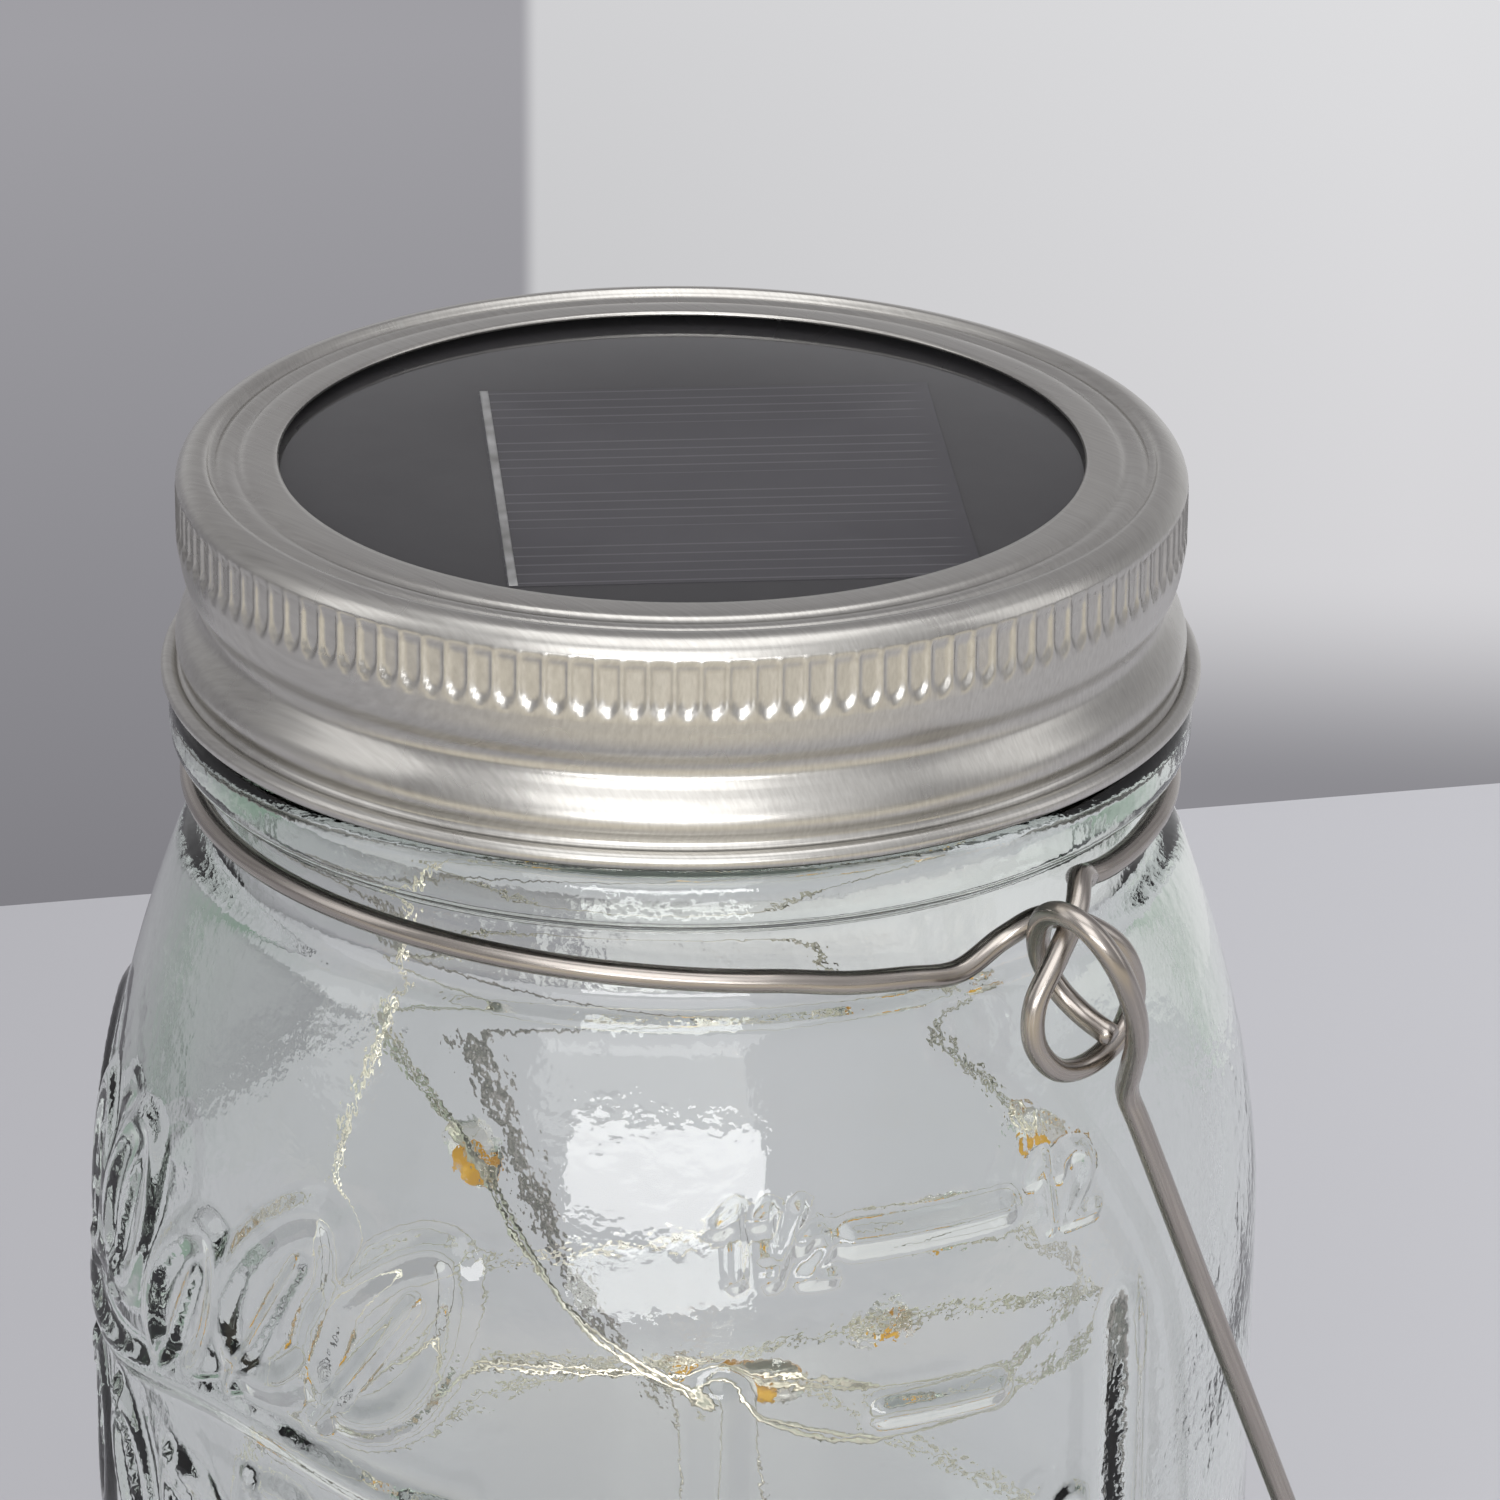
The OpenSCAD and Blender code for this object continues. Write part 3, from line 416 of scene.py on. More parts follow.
# The string's middle line, from the grommet down, and its points that carry a light.
STRING = np.array([
    [-15, -12, 113.05], [-15, -12, 108.05],
    [-14, -12, 99], [-14.5, -14.5, 88], [-15.5, -18, 78], [-16.5, -20.5, 61], [-27, -5, 51],
    [-18, 17.5, 47], [-2.5, 24, 54.5], [17.5, 26, 64], [26.5, 7, 65.5], [22.5, -12.5, 71],
    [0, -29, 69], [-20.5, -20.5, 52.5], [-27.5, 1.5, 44], [-23.5, 23, 42], [9, 31, 37.5],
    [22, 9, 30], [25.5, -9.5, 36.5], [14.5, -26, 32], [-11.5, -27.5, 28], [-28.5, -3.5, 23],
    [-18.5, 16.5, 18.5], [4.5, 31.5, 18.5], [29, 15, 20.5], [30, -6.5, 27.5], [8.5, -22, 32.5],
    [-14.5, -28, 37], [-29.5, -12.5, 53], [-28, 11.5, 56], [-2.5, 30, 61], [22, 18.5, 69],
    [31, -9, 69], [20, -24, 76.5], [2, -20.5, 84], [-22, -9, 87.5], [-16, 17.5, 90],
    [15, 22, 76.5]])
LIGHTS = [5, 8, 11, 15, 19, 23, 27, 30, 34, 37]
STRAND_R, STRAND_ASIDE, STRAND_TURNS = 0.17, 0.24, 26
BEAD_L, BEAD_R = 6.0, 1.7

string_line = curve(STRING, 22)
strands = [tube(string_line, STRAND_R, 7, aside=STRAND_ASIDE, turns=STRAND_TURNS, start=s)
           for s in (0, 0.5)]
light_string = piece("light_string", strands, string_wire, "lid", "string_wire", "light_string")


def at_light(points, k):
    """Points given across and along the wire, set at the string's k-th point. Across the
    wire, the first direction is the lowest one."""
    way = STRING[min(k + 1, len(STRING) - 1)] - STRING[k - 1]
    way = way / np.linalg.norm(way)
    side = np.array([way[0] * way[2], way[1] * way[2], way[2] ** 2 - 1])
    side = side / np.linalg.norm(side)
    return STRING[k] + points @ np.stack([side, np.cross(way, side), way])


def drop_of_resin(k):
    """A drop along the wire: the radius follows the sine of the way along it, raised to
    0.8. Each drop is a little fuller at one side and at one end, by a cosine."""
    a = np.linspace(0, 2 * np.pi, 25)[:-1][None, :]
    t = np.linspace(0.04, 0.96, 20)[:, None] * np.pi
    lean = 0.12 * math.sin(2.4 * k)
    r = BEAD_R * np.sin(t) ** 0.8 * (1 + lean * np.cos(t)) * (1 + 0.08 * np.cos(a + k))
    grid = np.stack([r * np.cos(a), r * np.sin(a), -BEAD_L / 2 * np.cos(t) + 0 * a], -1)
    return tile(at_light(grid, k), fan=True)


def chip_cushion(k):
    """A flat cushion beside the wire: a box whose corners are rounded by raising sine and
    cosine to 0.35 or 0.45."""
    a = np.linspace(0, 2 * np.pi, 25)[:-1][None, :]
    t = np.linspace(-0.46, 0.46, 9)[:, None] * np.pi

    def power(x, p):
        return np.sign(x) * np.abs(x) ** p
    grid = np.stack([0.8 + 0.42 * power(np.sin(t), 0.45) + 0 * a,
                     0.55 * power(np.cos(t), 0.35) * power(np.sin(a), 0.35),
                     0.85 * power(np.cos(t), 0.35) * power(np.cos(a), 0.35)], -1)
    return tile(at_light(grid, k), fan=True)


led_beads = piece("led_beads", [drop_of_resin(k) for k in LIGHTS], bead_resin, "lid",
                  "bead_resin", "led_beads")
led_chips = piece("led_chips", [chip_cushion(k) for k in LIGHTS], phosphor_painted_glow, "lid",
                  "chip_phosphor", "led_chips")

# ---- glass jar -----------------------------------------------------------------------

JAR_R, BODY_TOP, SHOULDER_TOP, SHOULDER_R, SHOULDER_POWER = 41.6, 73.7, 102.0, 35.3, 1.75
INNER_R, INNER_TOP_R, INNER_SHOULDER = 38.4, 30.0, (73.6, 103.0)
RELIEF_LOW, RELIEF_HIGH = 18.0, 93.0
THREAD_Z, THREAD_PITCH, THREAD_HEIGHT, THREAD_FOOT = 116.4, 5.08, 0.42, 115
# Steps between the rows of the jar's skin, and between its columns in degrees: close
# together where the wall carries relief.
FINE, MIDDLE, COARSE = 0.44, 0.6, 2.4
SCALE_STEP, SPRIG_STEP, BETWEEN_STEP, PLAIN_STEP = 0.62, 0.72, 2.5, 4.0
# Degrees round the jar: the middles of the scale and the sprig, and what each takes up.
SCALE_AT, SPRIG_AT = -16.8, -105.2
SCALE_SPAN, SPRIG_SPAN = (-44, 12), (-148, -60)


def shoulder(wide, narrow, low, high, steps=40):
    """The radius falls from wide to narrow as a power of the height."""
    t = np.linspace(0, 1, steps + 1)
    return np.stack([wide - (wide - narrow) * t**SHOULDER_POWER, low + (high - low) * t], -1)


def jar_profile():
    """Radius and height from the middle of the base, up the outside, over the rim and down
    the inside to the middle of the floor. Each point is then drawn to its neighbours' mean."""
    base = curve([[1.5, 2.5], [14, 2.5], [23, 2.25], [27.4, 1.7], [29.4, 0.4], [30.6, 0.0],
                  [34.6, 0.0]], 6)
    heel = np.vstack([arc(35.6, 6, 6, -90, 0, 14), [[JAR_R, RELIEF_LOW]]])
    outside = np.vstack([[[JAR_R, RELIEF_LOW]],
                         shoulder(JAR_R, SHOULDER_R, BODY_TOP, SHOULDER_TOP)])
    split = np.searchsorted(outside[:, 1], RELIEF_HIGH)
    body, upper = outside[:split + 1], outside[split:]
    waist = curve([[35.3, 102.0], [33.95, 102.7], [33.3, 103.9], [33.3, 107.6], [33.5, 108.6],
                   [34.2, 109.2]], 5)
    bead = np.vstack([arc(34.75, 110.45, 1.15, -80, 0, 7), arc(34.75, 112.45, 1.15, 0, 84, 7)])
    neck = np.vstack([upper[-1:], waist, bead, [[33.7, 113.7], [33.15, 114.1], [33.0, 114.8]],
                      arc(31.6, 124.3, 1.4, 0, 90, 8)])
    inside = np.vstack([arc(31.0, 124.3, 1.4, 90, 180, 8),
                        shoulder(INNER_R, INNER_TOP_R, *INNER_SHOULDER)[::-1],
                        arc(33.4, 12.5, 5, 0, -90, 10), [[1.5, 7.5]]])
    line = np.vstack([even(base, COARSE), even(heel, 1.2), even(body, FINE), even(upper, 1.0),
                      even(neck, MIDDLE), even(inside[:9], 0.5), even(inside[8:], COARSE),
                      inside[-1:]])
    soft = line.copy()
    soft[1:-1] = 0.25 * line[:-2] + 0.5 * line[1:-1] + 0.25 * line[2:]
    return soft


def jar_angles():
    """Angles round the jar: close together across the sprig and the scale."""
    (low, high), (start, end) = SPRIG_SPAN, SCALE_SPAN
    return np.concatenate([np.arange(low, high, SPRIG_STEP), np.arange(high, start, BETWEEN_STEP),
                           np.arange(start, end, SCALE_STEP),
                           np.arange(end, low + 360, PLAIN_STEP)])


def raised(x, y, line, half, height):
    """A rounded ridge along a line: its height times cos squared of a quarter turn times
    the distance from the line over the half width."""
    line = np.asarray(line, float)
    a, b = line[:-1], line[1:]
    d = b - a
    px, py = x[..., None] - a[:, 0], y[..., None] - a[:, 1]
    t = np.clip((px * d[:, 0] + py * d[:, 1]) / np.maximum((d**2).sum(1), 1e-9), 0, 1)
    away = np.sqrt(((px - t * d[:, 0]) ** 2 + (py - t * d[:, 1]) ** 2).min(-1))
    return height * np.where(away < half, np.cos(np.pi / 2 * np.minimum(away / half, 1)) ** 2, 0)


# Each numeral as a line in a box of height 1.
DIGITS = {
    "1": [(0.05, 0.76), (0.3, 1), (0.3, 0)],
    "2": [(0, 0.74), (0.08, 0.93), (0.3, 1), (0.52, 0.93), (0.6, 0.74), (0.5, 0.5), (0, 0),
          (0.62, 0)],
    "4": [(0.46, 0), (0.46, 1), (0, 0.3), (0.64, 0.3)],
    "8": [(0.3, 0.53), (0.08, 0.66), (0.08, 0.88), (0.3, 1), (0.52, 0.88), (0.52, 0.66),
          (0.3, 0.53), (0.03, 0.37), (0.03, 0.12), (0.3, 0), (0.57, 0.12), (0.57, 0.37),
          (0.3, 0.53)],
    "/": [(0, 0), (0.45, 1)]}
# Each mark of the scale: height, half length, and the numbers at its left and right, as
# digit, place, lift and size. The lengths are millimetres along the wall.
MARKS = [
    (88.0, 5.9,
     [("1", -15.4, 0, 4.8), ("1", -12.6, 1.6, 3.2), ("/", -11.6, 0, 4.8), ("2", -9.4, 0, 3.0)],
     [("1", 8.2, 0, 4.6), ("2", 11.0, 0, 4.6)]),
    (75.6, 4.1, [], []),
    (63.2, 5.9, [("1", -13.2, 0, 4.8)], [("8", 9.2, 0, 4.6)]),
    (50.8, 4.1, [], []),
    (38.4, 5.9, [("1", -14.8, 1.6, 3.2), ("/", -13.8, 0, 4.8), ("2", -11.6, 0, 3.0)],
     [("4", 9.2, 0, 4.6)]),
    (26.0, 4.1, [], [])]


def scale_relief(x, y):
    """Measuring marks as raised bars with plain numbers, between two upright ribs."""
    high = np.maximum(raised(x, y, [(-15.2, 24), (-15.2, 77.6)], 2.6, 0.7),
                      raised(x, y, [(15.8, 24), (15.8, 77.6)], 2.8, 0.75))
    for level, half, left, right in MARKS:
        high = np.maximum(high, raised(x, y, [(-half, level), (half, level)], 1.5, 0.7))
        for digit, at, lift, size in left + right:
            line = [(at + size * px, level - 2.3 + lift + size * py) for px, py in DIGITS[digit]]
            high = np.maximum(high, raised(x, y, line, 0.8, 0.5))
    return high


# Leaves of the sprig: middle, length, width and the angle of the leaf's line.
LEAVES = [(15.6, 80.0, 15.0, 8.6, 62), (24.6, 79.8, 15.5, 8.4, 56), (5.6, 76.0, 13.0, 7.4, 66),
          (-4.0, 79.5, 14.0, 7.6, 72), (-13.5, 78.0, 13.5, 7.4, 84), (-22.6, 80.0, 14.5, 7.6, 100),
          (17.5, 60.0, 11.5, 6.0, -46), (7.5, 57.5, 11.5, 6.0, -52), (-3.0, 57.5, 11.5, 6.0, -62),
          (-13.0, 57.0, 11.5, 6.0, -76), (-22.0, 58.0, 11.0, 5.6, -96)]


def sprig_relief(x, y):
    """A leafy sprig: a stem in a slow wave with oval leaves to both sides, each a raised
    rim round a low pad with a vein."""
    s = np.linspace(-28, 29, 40)
    high = raised(x, y, np.stack([s, 68.5 + 1.6 * np.sin(s / 6.5)], -1), 1.9, 0.85)
    for cx, cy, length, width, turn in LEAVES:
        t = np.linspace(0, 2 * np.pi, 25)
        px, py = length / 2 * np.cos(t), width / 2 * np.sin(t) * (1 - 0.22 * np.cos(t))
        c, s_ = math.cos(math.radians(turn)), math.sin(math.radians(turn))
        rim = np.stack([cx + c * px - s_ * py, cy + s_ * px + c * py], -1)
        high = np.maximum(high, raised(x, y, rim, 2.0, 0.6))
        vein = [(cx - c * length * 0.42, cy - s_ * length * 0.42),
                (cx + c * length * 0.2, cy + s_ * length * 0.2)]
        high = np.maximum(high, raised(x, y, vein, 0.9, 0.5))
        foot_shadow = [vein[0], (cx - c * length * 0.62, cy - s_ * length * 0.62)]
        high = np.maximum(high, raised(x, y, foot_shadow, 1.2, 0.8))
    return high


def jar_grid():
    """The profile carried round, pushed out by the relief on the outside of the body, by
    a thread on the finish, and gently waved on the inside."""
    line, angles = jar_profile(), jar_angles()
    grid = turned(line, angles)
    r, z = line[:, 0][:, None], line[:, 1][:, None]
    a = angles[None, :] + 0 * z
    outside = np.arange(len(line))[:, None] < int(np.argmax(line[:, 1]))
    push = np.zeros_like(a)
    on_body = outside[:, 0] & (line[:, 1] > RELIEF_LOW) & (line[:, 1] < RELIEF_HIGH)
    for middle, relief, (low, high) in ((SCALE_AT, scale_relief, SCALE_SPAN),
                                        (SPRIG_AT, sprig_relief, SPRIG_SPAN)):
        cols = (angles > low) & (angles < high)
        x = np.radians(angles[cols] - middle)[None, :] * (JAR_R - 1)
        y = line[on_body, 1][:, None] + 0 * x
        push[np.ix_(on_body, cols)] = relief(x, y)
    share = (angles - SPRIG_SPAN[0]) / 360
    for lap in (0, 1):
        away = np.abs(z - (THREAD_Z + THREAD_PITCH * (share + lap))[None, :])
        fade = window(share + lap, 0.05, 1.35, 0.08)[None, :]
        ridge = THREAD_HEIGHT * np.cos(np.pi / 2 * away) ** 2
        push += np.where(outside & (away < 1.0) & (z > THREAD_FOOT), ridge, 0) * fade
    b = np.radians(a)
    inside = (~outside) & (z > 9) & (z < 118)
    waves = (0.10 * np.sin(3 * b + z / 8.0) + 0.07 * np.sin(5 * b - z / 5.5 + 1)
             + 0.05 * np.sin(2 * b + z / 3.6))
    push += window(z, 14, 104, 14) * inside * waves
    grid[..., :2] *= ((r + push) / r)[..., None]
    return grid


piece("glass_jar_pressed", [tile(jar_grid(), fan=True)], glass, "jar", "clear_glass",
      "glass_jar")

# ---- screw band ----------------------------------------------------------------------

BAND_TOP, SHEET = 130.0, 0.4
FLUTES, FLUTE_DEPTH, FLUTE_LOW, FLUTE_HIGH = 126, 0.26, -5.25, -1.5
# Columns of the skin to each flute, how far its ends and its sides are rounded (the sides
# as a share of half the pitch), and the radius beyond which the wall takes flutes.
FLUTE_COLUMNS, FLUTE_TOP_ROUND, FLUTE_FOOT_ROUND, FLUTE_SIDE = 9, 0.5, 1.2, 0.34
FLUTED_FROM_R = 34.6


def band_profile():
    """Radius and height of the pressed sheet: from the lip's opening over the rings pressed
    into the lip, down the wall with its groove and bulge, round the rolled edge, and back
    up the inside. Also how many of its points come before the rolled edge."""
    rings = curve([[30.0, -0.02], [30.5, -0.12], [30.75, -0.42], [31.0, -0.34], [31.6, -0.22],
                   [32.15, -0.3], [32.45, -0.62], [32.7, -0.5], [33.0, -0.2]], 4)
    lip = np.vstack([arc(28.15, -0.2, 0.2, 200, 90, 4), [[29.6, 0.0], [30.0, -0.02]], rings,
                     arc(33.3, -1.85, 1.85, 97, 52, 10)[:-1],
                     arc(33.3, -1.85, 1.85, 52, 0, 12)])
    groove = curve([[35.15, -5.7], [35.0, -6.4], [34.86, -7.3], [34.6, -8.2], [34.08, -9.15],
                    [33.92, -9.8], [34.05, -10.5], [34.55, -11.2], [35.05, -11.9]], 5)
    wall = np.vstack([[[35.15, -1.95], [35.15, -5.6]], groove,
                      arc(33.75, -13.1, 1.6, 34, -38, 8)[1:], [[34.95, -14.35], [35.0, -14.6]]])
    outer = np.vstack([lip, wall])
    along = even(outer, 0.05)
    way = np.gradient(along, axis=0)
    way /= np.linalg.norm(way, axis=1)[:, None]
    inner = along + SHEET * np.stack([way[:, 1], -way[:, 0]], -1)
    roll = arc(35.75, -15.35, 0.65, 150, -175, 16)
    front = np.vstack([even(lip, 0.35), even(wall, 0.44), roll])
    back = even(inner[::-1], 1.6)
    line = np.vstack([front, back])
    line[:, 1] += BAND_TOP
    return line, len(front) - len(roll)


def band_grid():
    """The profile carried round, with upright flutes pressed into the wall: each is deep
    across the middle of its share, with a cubic step at each side, and its ends above and
    below are round, by a circle's law."""
    line, front = band_profile()
    columns = FLUTES * FLUTE_COLUMNS
    angles = np.arange(columns) * 360 / columns
    grid = turned(line, angles)
    r, z = line[:, 0][:, None], line[:, 1][:, None] - BAND_TOP
    across = np.abs((angles * FLUTES / 360) % 1 - 0.5)[None, :] * 2
    ends = np.minimum((FLUTE_HIGH - z) / FLUTE_TOP_ROUND, (z - FLUTE_LOW) / FLUTE_FOOT_ROUND)
    ends = np.sqrt(np.clip(1 - np.clip(1 - ends, 0, 1) ** 2, 0, 1))
    deep = np.clip((ends - across) / FLUTE_SIDE, 0, 1) * (ends > 0)
    deep = deep * deep * (3 - 2 * deep)
    rows = (np.arange(len(line)) < front)[:, None] & (r > FLUTED_FROM_R)
    grid[..., :2] *= ((r - FLUTE_DEPTH * deep * rows) / r)[..., None]
    return grid


piece("screw_band_pressed", [tile(band_grid(), loop=True)], tinplate, "band", "tinplate",
      "screw_band")

# ---- solar panel ---------------------------------------------------------------------

PANEL_Z, PANEL_R, BOARD_T, CLEAR_T = 127.45, 30.0, 0.8, 1.0
CELL_Z, CELL_T, BUSBAR_W, BUSBAR_T = PANEL_Z + BOARD_T, 0.25, 0.62, 0.15
# How far the cover, and the cell and its busbar, reach into what they lie on.
COVER_SINK, CELL_SINK = 0.05, 0.02


def disc(radius, low, high, edge, columns=240):
    """A disc with its rims rounded by a quarter circle."""
    line = np.vstack([[[radius * 0.5, low]], arc(radius - edge, low + edge, edge, -90, 0, 4),
                      arc(radius - edge, high - edge, edge, 0, 90, 4), [[radius * 0.5, high]]])
    return tile(turned(line, np.arange(columns) * 360 / columns), fan=True)


def slab(wide, long, at, low, high, edge):
    """A thin plate with rounded rims, turned and shifted with the cell: its outline is a
    rectangle round a point, drawn in by a quarter circle at the top and bottom rims."""
    inset = np.vstack([[[wide * 0.4, low]], arc(edge, low + edge, edge, -90, -180, 3),
                       arc(edge, high - edge, edge, 180, 90, 3), [[wide * 0.4, high]]])
    t = np.linspace(-1, 1, 25)[:-1]
    corner = np.ones_like(t)
    outline = np.vstack([np.stack([t, -corner], -1), np.stack([corner, t], -1),
                         np.stack([-t, corner], -1), np.stack([-corner, -t], -1)])
    half = np.array([wide, long]) / 2
    flat = at + outline[None] * (half - inset[:, :1, None])
    c, s = math.cos(math.radians(CELL_TURN)), math.sin(math.radians(CELL_TURN))
    x = CELL_AT[0] + c * flat[..., 0] - s * flat[..., 1]
    y = CELL_AT[1] + s * flat[..., 0] + c * flat[..., 1]
    return tile(np.stack([x, y, inset[:, 1:] + 0 * x], -1), fan=True)


piece("panel_board_disc", [disc(PANEL_R, PANEL_Z, PANEL_Z + BOARD_T, 0.1)], board_black, "lid",
      "panel_black", "panel_board")
cover = disc(PANEL_R, PANEL_Z + BOARD_T - COVER_SINK, PANEL_Z + BOARD_T + CLEAR_T, 0.12)
piece("panel_cover_clear", [cover], resin, "lid", "panel_resin", "panel_cover")
cell = slab(CELL_X, CELL_Y, (0, 0), CELL_Z - CELL_SINK, CELL_Z + CELL_T, 0.03)
piece("silicon_cell_plate", [cell], wafer, "lid", "silicon", "solar_cell")
busbar = slab(BUSBAR_W, CELL_Y, (-CELL_X / 2 + BUSBAR_W / 2 + 0.1, 0),
              CELL_Z + CELL_T - CELL_SINK, CELL_Z + CELL_T + BUSBAR_T, 0.05)
piece("busbar_ribbon", [busbar], ribbon, "lid", "ribbon_tin", "cell_busbar")

# ---- wire hanger ---------------------------------------------------------------------

WIRE_R, RING_R, ARM_X, PIVOT_Z, BAIL_L = 0.825, 34.4, 41.5, 102.0, 103.0
BAIL_LEAN = math.asin((JAR_R + WIRE_R + 0.3) / BAIL_L)


def on_neck(y, z):
    """A point on the ring round the neck, its height taken from the pivot."""
    return [math.sqrt(RING_R**2 - y * y), y, z]


def by_arm(dx, y, z):
    """A point beside the arm, its height taken from the pivot."""
    return [ARM_X + dx, y, z]


# The pigtail loop, bent from the ring: it climbs from the neck, goes round the eye and
# comes back to the neck. Then the eye of the bail, across and down from the pivot.
LOOP = [on_neck(13, 4.6), on_neck(9, 4.7), on_neck(5.8, 5.2), by_arm(-4.6, 3.6, 6.9),
        by_arm(-3.2, 1.6, 7.8), by_arm(-1.4, -0.6, 6.5), by_arm(-0.8, -2.9, 4.1),
        by_arm(-0.9, -4.7, 1.2), by_arm(-0.9, -4.6, -1.8), by_arm(-0.7, -2.6, -4.2),
        by_arm(-0.8, 0.6, -4.7), by_arm(-0.7, 3.4, -3.2), by_arm(-0.7, 4.5, -0.4),
        by_arm(-0.8, 3.2, 2.9), by_arm(-1.9, 0.9, 5), by_arm(-4.6, -0.3, 5.1),
        by_arm(-6.6, -2.2, 3.4), on_neck(-5.5, 1.6), on_neck(-9.5, 2), on_neck(-13.5, 2.4)]
EYE = np.array([[0, 12], [0, 8.3], [1.5, 5.3], [3.3, 2], [4.4, -1.7], [4.3, -5.2], [3, -7.9],
                [0.8, -8.8], [-1.5, -7.8], [-3.2, -5.4], [-4, -2.6], [-3.4, -0.1],
                [-1.7, 1.6], [0.8, 2.7]])


def neck_ring_path():
    """One pigtail loop, the climb round the neck by a square law, and both again half a
    turn on."""
    a = np.arange(30, 151, 5.0)
    climb = 4.65 - 2.3 * (1 - np.minimum((a - 17) / 83, 1)) ** 2
    run = np.stack([RING_R * np.cos(np.radians(a)), -RING_R * np.sin(np.radians(a)), climb], -1)
    half = np.vstack([LOOP, run])
    both = np.vstack([half, half * [-1, -1, 1]]) + [0, 0, PIVOT_Z]
    return curve(both, 9, closed=True)


def bail_path():
    """A teardrop eye, a straight arm, half a circle, and the same again mirrored, all in
    one plane that leans from the pivot."""
    eye = EYE + [ARM_X, 0]
    arm = np.array([[ARM_X, t] for t in np.linspace(24, BAIL_L - ARM_X - 10, 4)])
    half = np.vstack([eye[::-1], arm])
    bow = arc(0, BAIL_L - ARM_X, ARM_X, 0, 180, 40)
    flat = curve(np.vstack([half, bow, (half * [-1, 1])[::-1]]), 8)
    return np.stack([flat[:, 0], flat[:, 1] * math.sin(BAIL_LEAN),
                     PIVOT_Z - flat[:, 1] * math.cos(BAIL_LEAN)], -1)


piece("neck_ring_wire", [tube(neck_ring_path(), WIRE_R, 20, closed=True)], steel, "jar",
      "steel_wire", "neck_ring")
piece("bail_wire", [tube(bail_path(), WIRE_R, 20)], steel, "hanger", "steel_wire", "bail_handle")

# ---- carried-over pieces of the lid --------------------------------------------------

FINISH = {
    "rim_gasket": gasket_rubber, "solar_housing": black_abs, "panel_lead_red": lead_red,
    "panel_lead_black": lead_black, "circuit_board": fibre_board, "driver_chip": chip_epoxy,
    "inductor": inductor_coat, "battery": battery_sleeve, "contact_spring": nickel,
    "contact_plate": nickel, "bottom_cover": black_abs, "cover_screws": zinc,
    "battery_door": black_abs, "door_screw": zinc, "switch_body": switch_tin,
    "switch_slider": switch_cap, "string_grommet": grommet_rubber}
for name, look in FINISH.items():
    nodes[name].data.materials.clear()
    nodes[name].data.materials.append(look)

# ---- table, backdrop and light -------------------------------------------------------

# Level directions as the camera's side sees them: to its right, and away from it.
VIEW_TURN = math.radians(-42.2)
ACROSS = np.array([-math.sin(VIEW_TURN), math.cos(VIEW_TURN)])
AWAY = np.array([-math.cos(VIEW_TURN), -math.sin(VIEW_TURN)])
JAR_MIDDLE, NECK_MIDDLE = (0, 0, 0.09), (0, 0, 0.1)
TABLE_TOP, TABLE_THICK = -0.0003, 0.03
# Painted light and shade on the table, as tones in metres across or towards the camera:
# paler to the right, pale and warm just in front of the jar, and darker far in front.
TABLE_LEFT_TONE = "#BBBABE"
TABLE_LIGHT_AND_SHADE = [(ACROSS, -0.07, 0.08, "#CFCED2"), (-AWAY, 0.1, 0.2, "#EBE3D2"),
               (-AWAY, 0.4, 0.65, "#8F8D8A")]


def set_table():
    """A pale table top whose far edge runs a little askew behind the jar."""
    plan = [(-1.6, -0.119), (1.6, 0.572), (1.6, -1.8), (-1.6, -1.8)]
    top = [(*(across * ACROSS + away * AWAY), TABLE_TOP) for across, away in plan]
    low = [(x, y, z - TABLE_THICK) for x, y, z in top]
    edges = [(k, (k + 1) % 4, (k + 1) % 4 + 4, k + 4) for k in range(4)]
    mesh = bpy.data.meshes.new("table_top")
    mesh.from_pydata(top + low, [], [(3, 2, 1, 0), (4, 5, 6, 7)] + edges)
    made, tree, shader = material("painted_table_top",
                                  {"Roughness": 0.6, "Specular IOR Level": 0.2})
    place = add(tree, "TexCoord", {})
    tone = colour(TABLE_LEFT_TONE)
    # The bands lay painted light and shade over the table's tone.
    for way, start, end, next_tone in TABLE_LIGHT_AND_SHADE:
        along = add(tree, "VectorMath", {"operation": "DOT_PRODUCT", 0: place.outputs["Object"],
                                         1: (way[0], way[1], 0)})
        share = add(tree, "MapRange", {"Value": along.outputs["Value"], "From Min": start,
                                       "From Max": end})
        tone = add(tree, "Mix", {"data_type": "RGBA", 0: share.outputs[0], 6: tone,
                                 7: colour(next_tone)}).outputs[2]
    tree.links.new(tone, shader.inputs["Base Color"])
    mesh.materials.append(made)
    table = bpy.data.objects.new("table_top", mesh)
    bpy.context.scene.collection.objects.link(table)


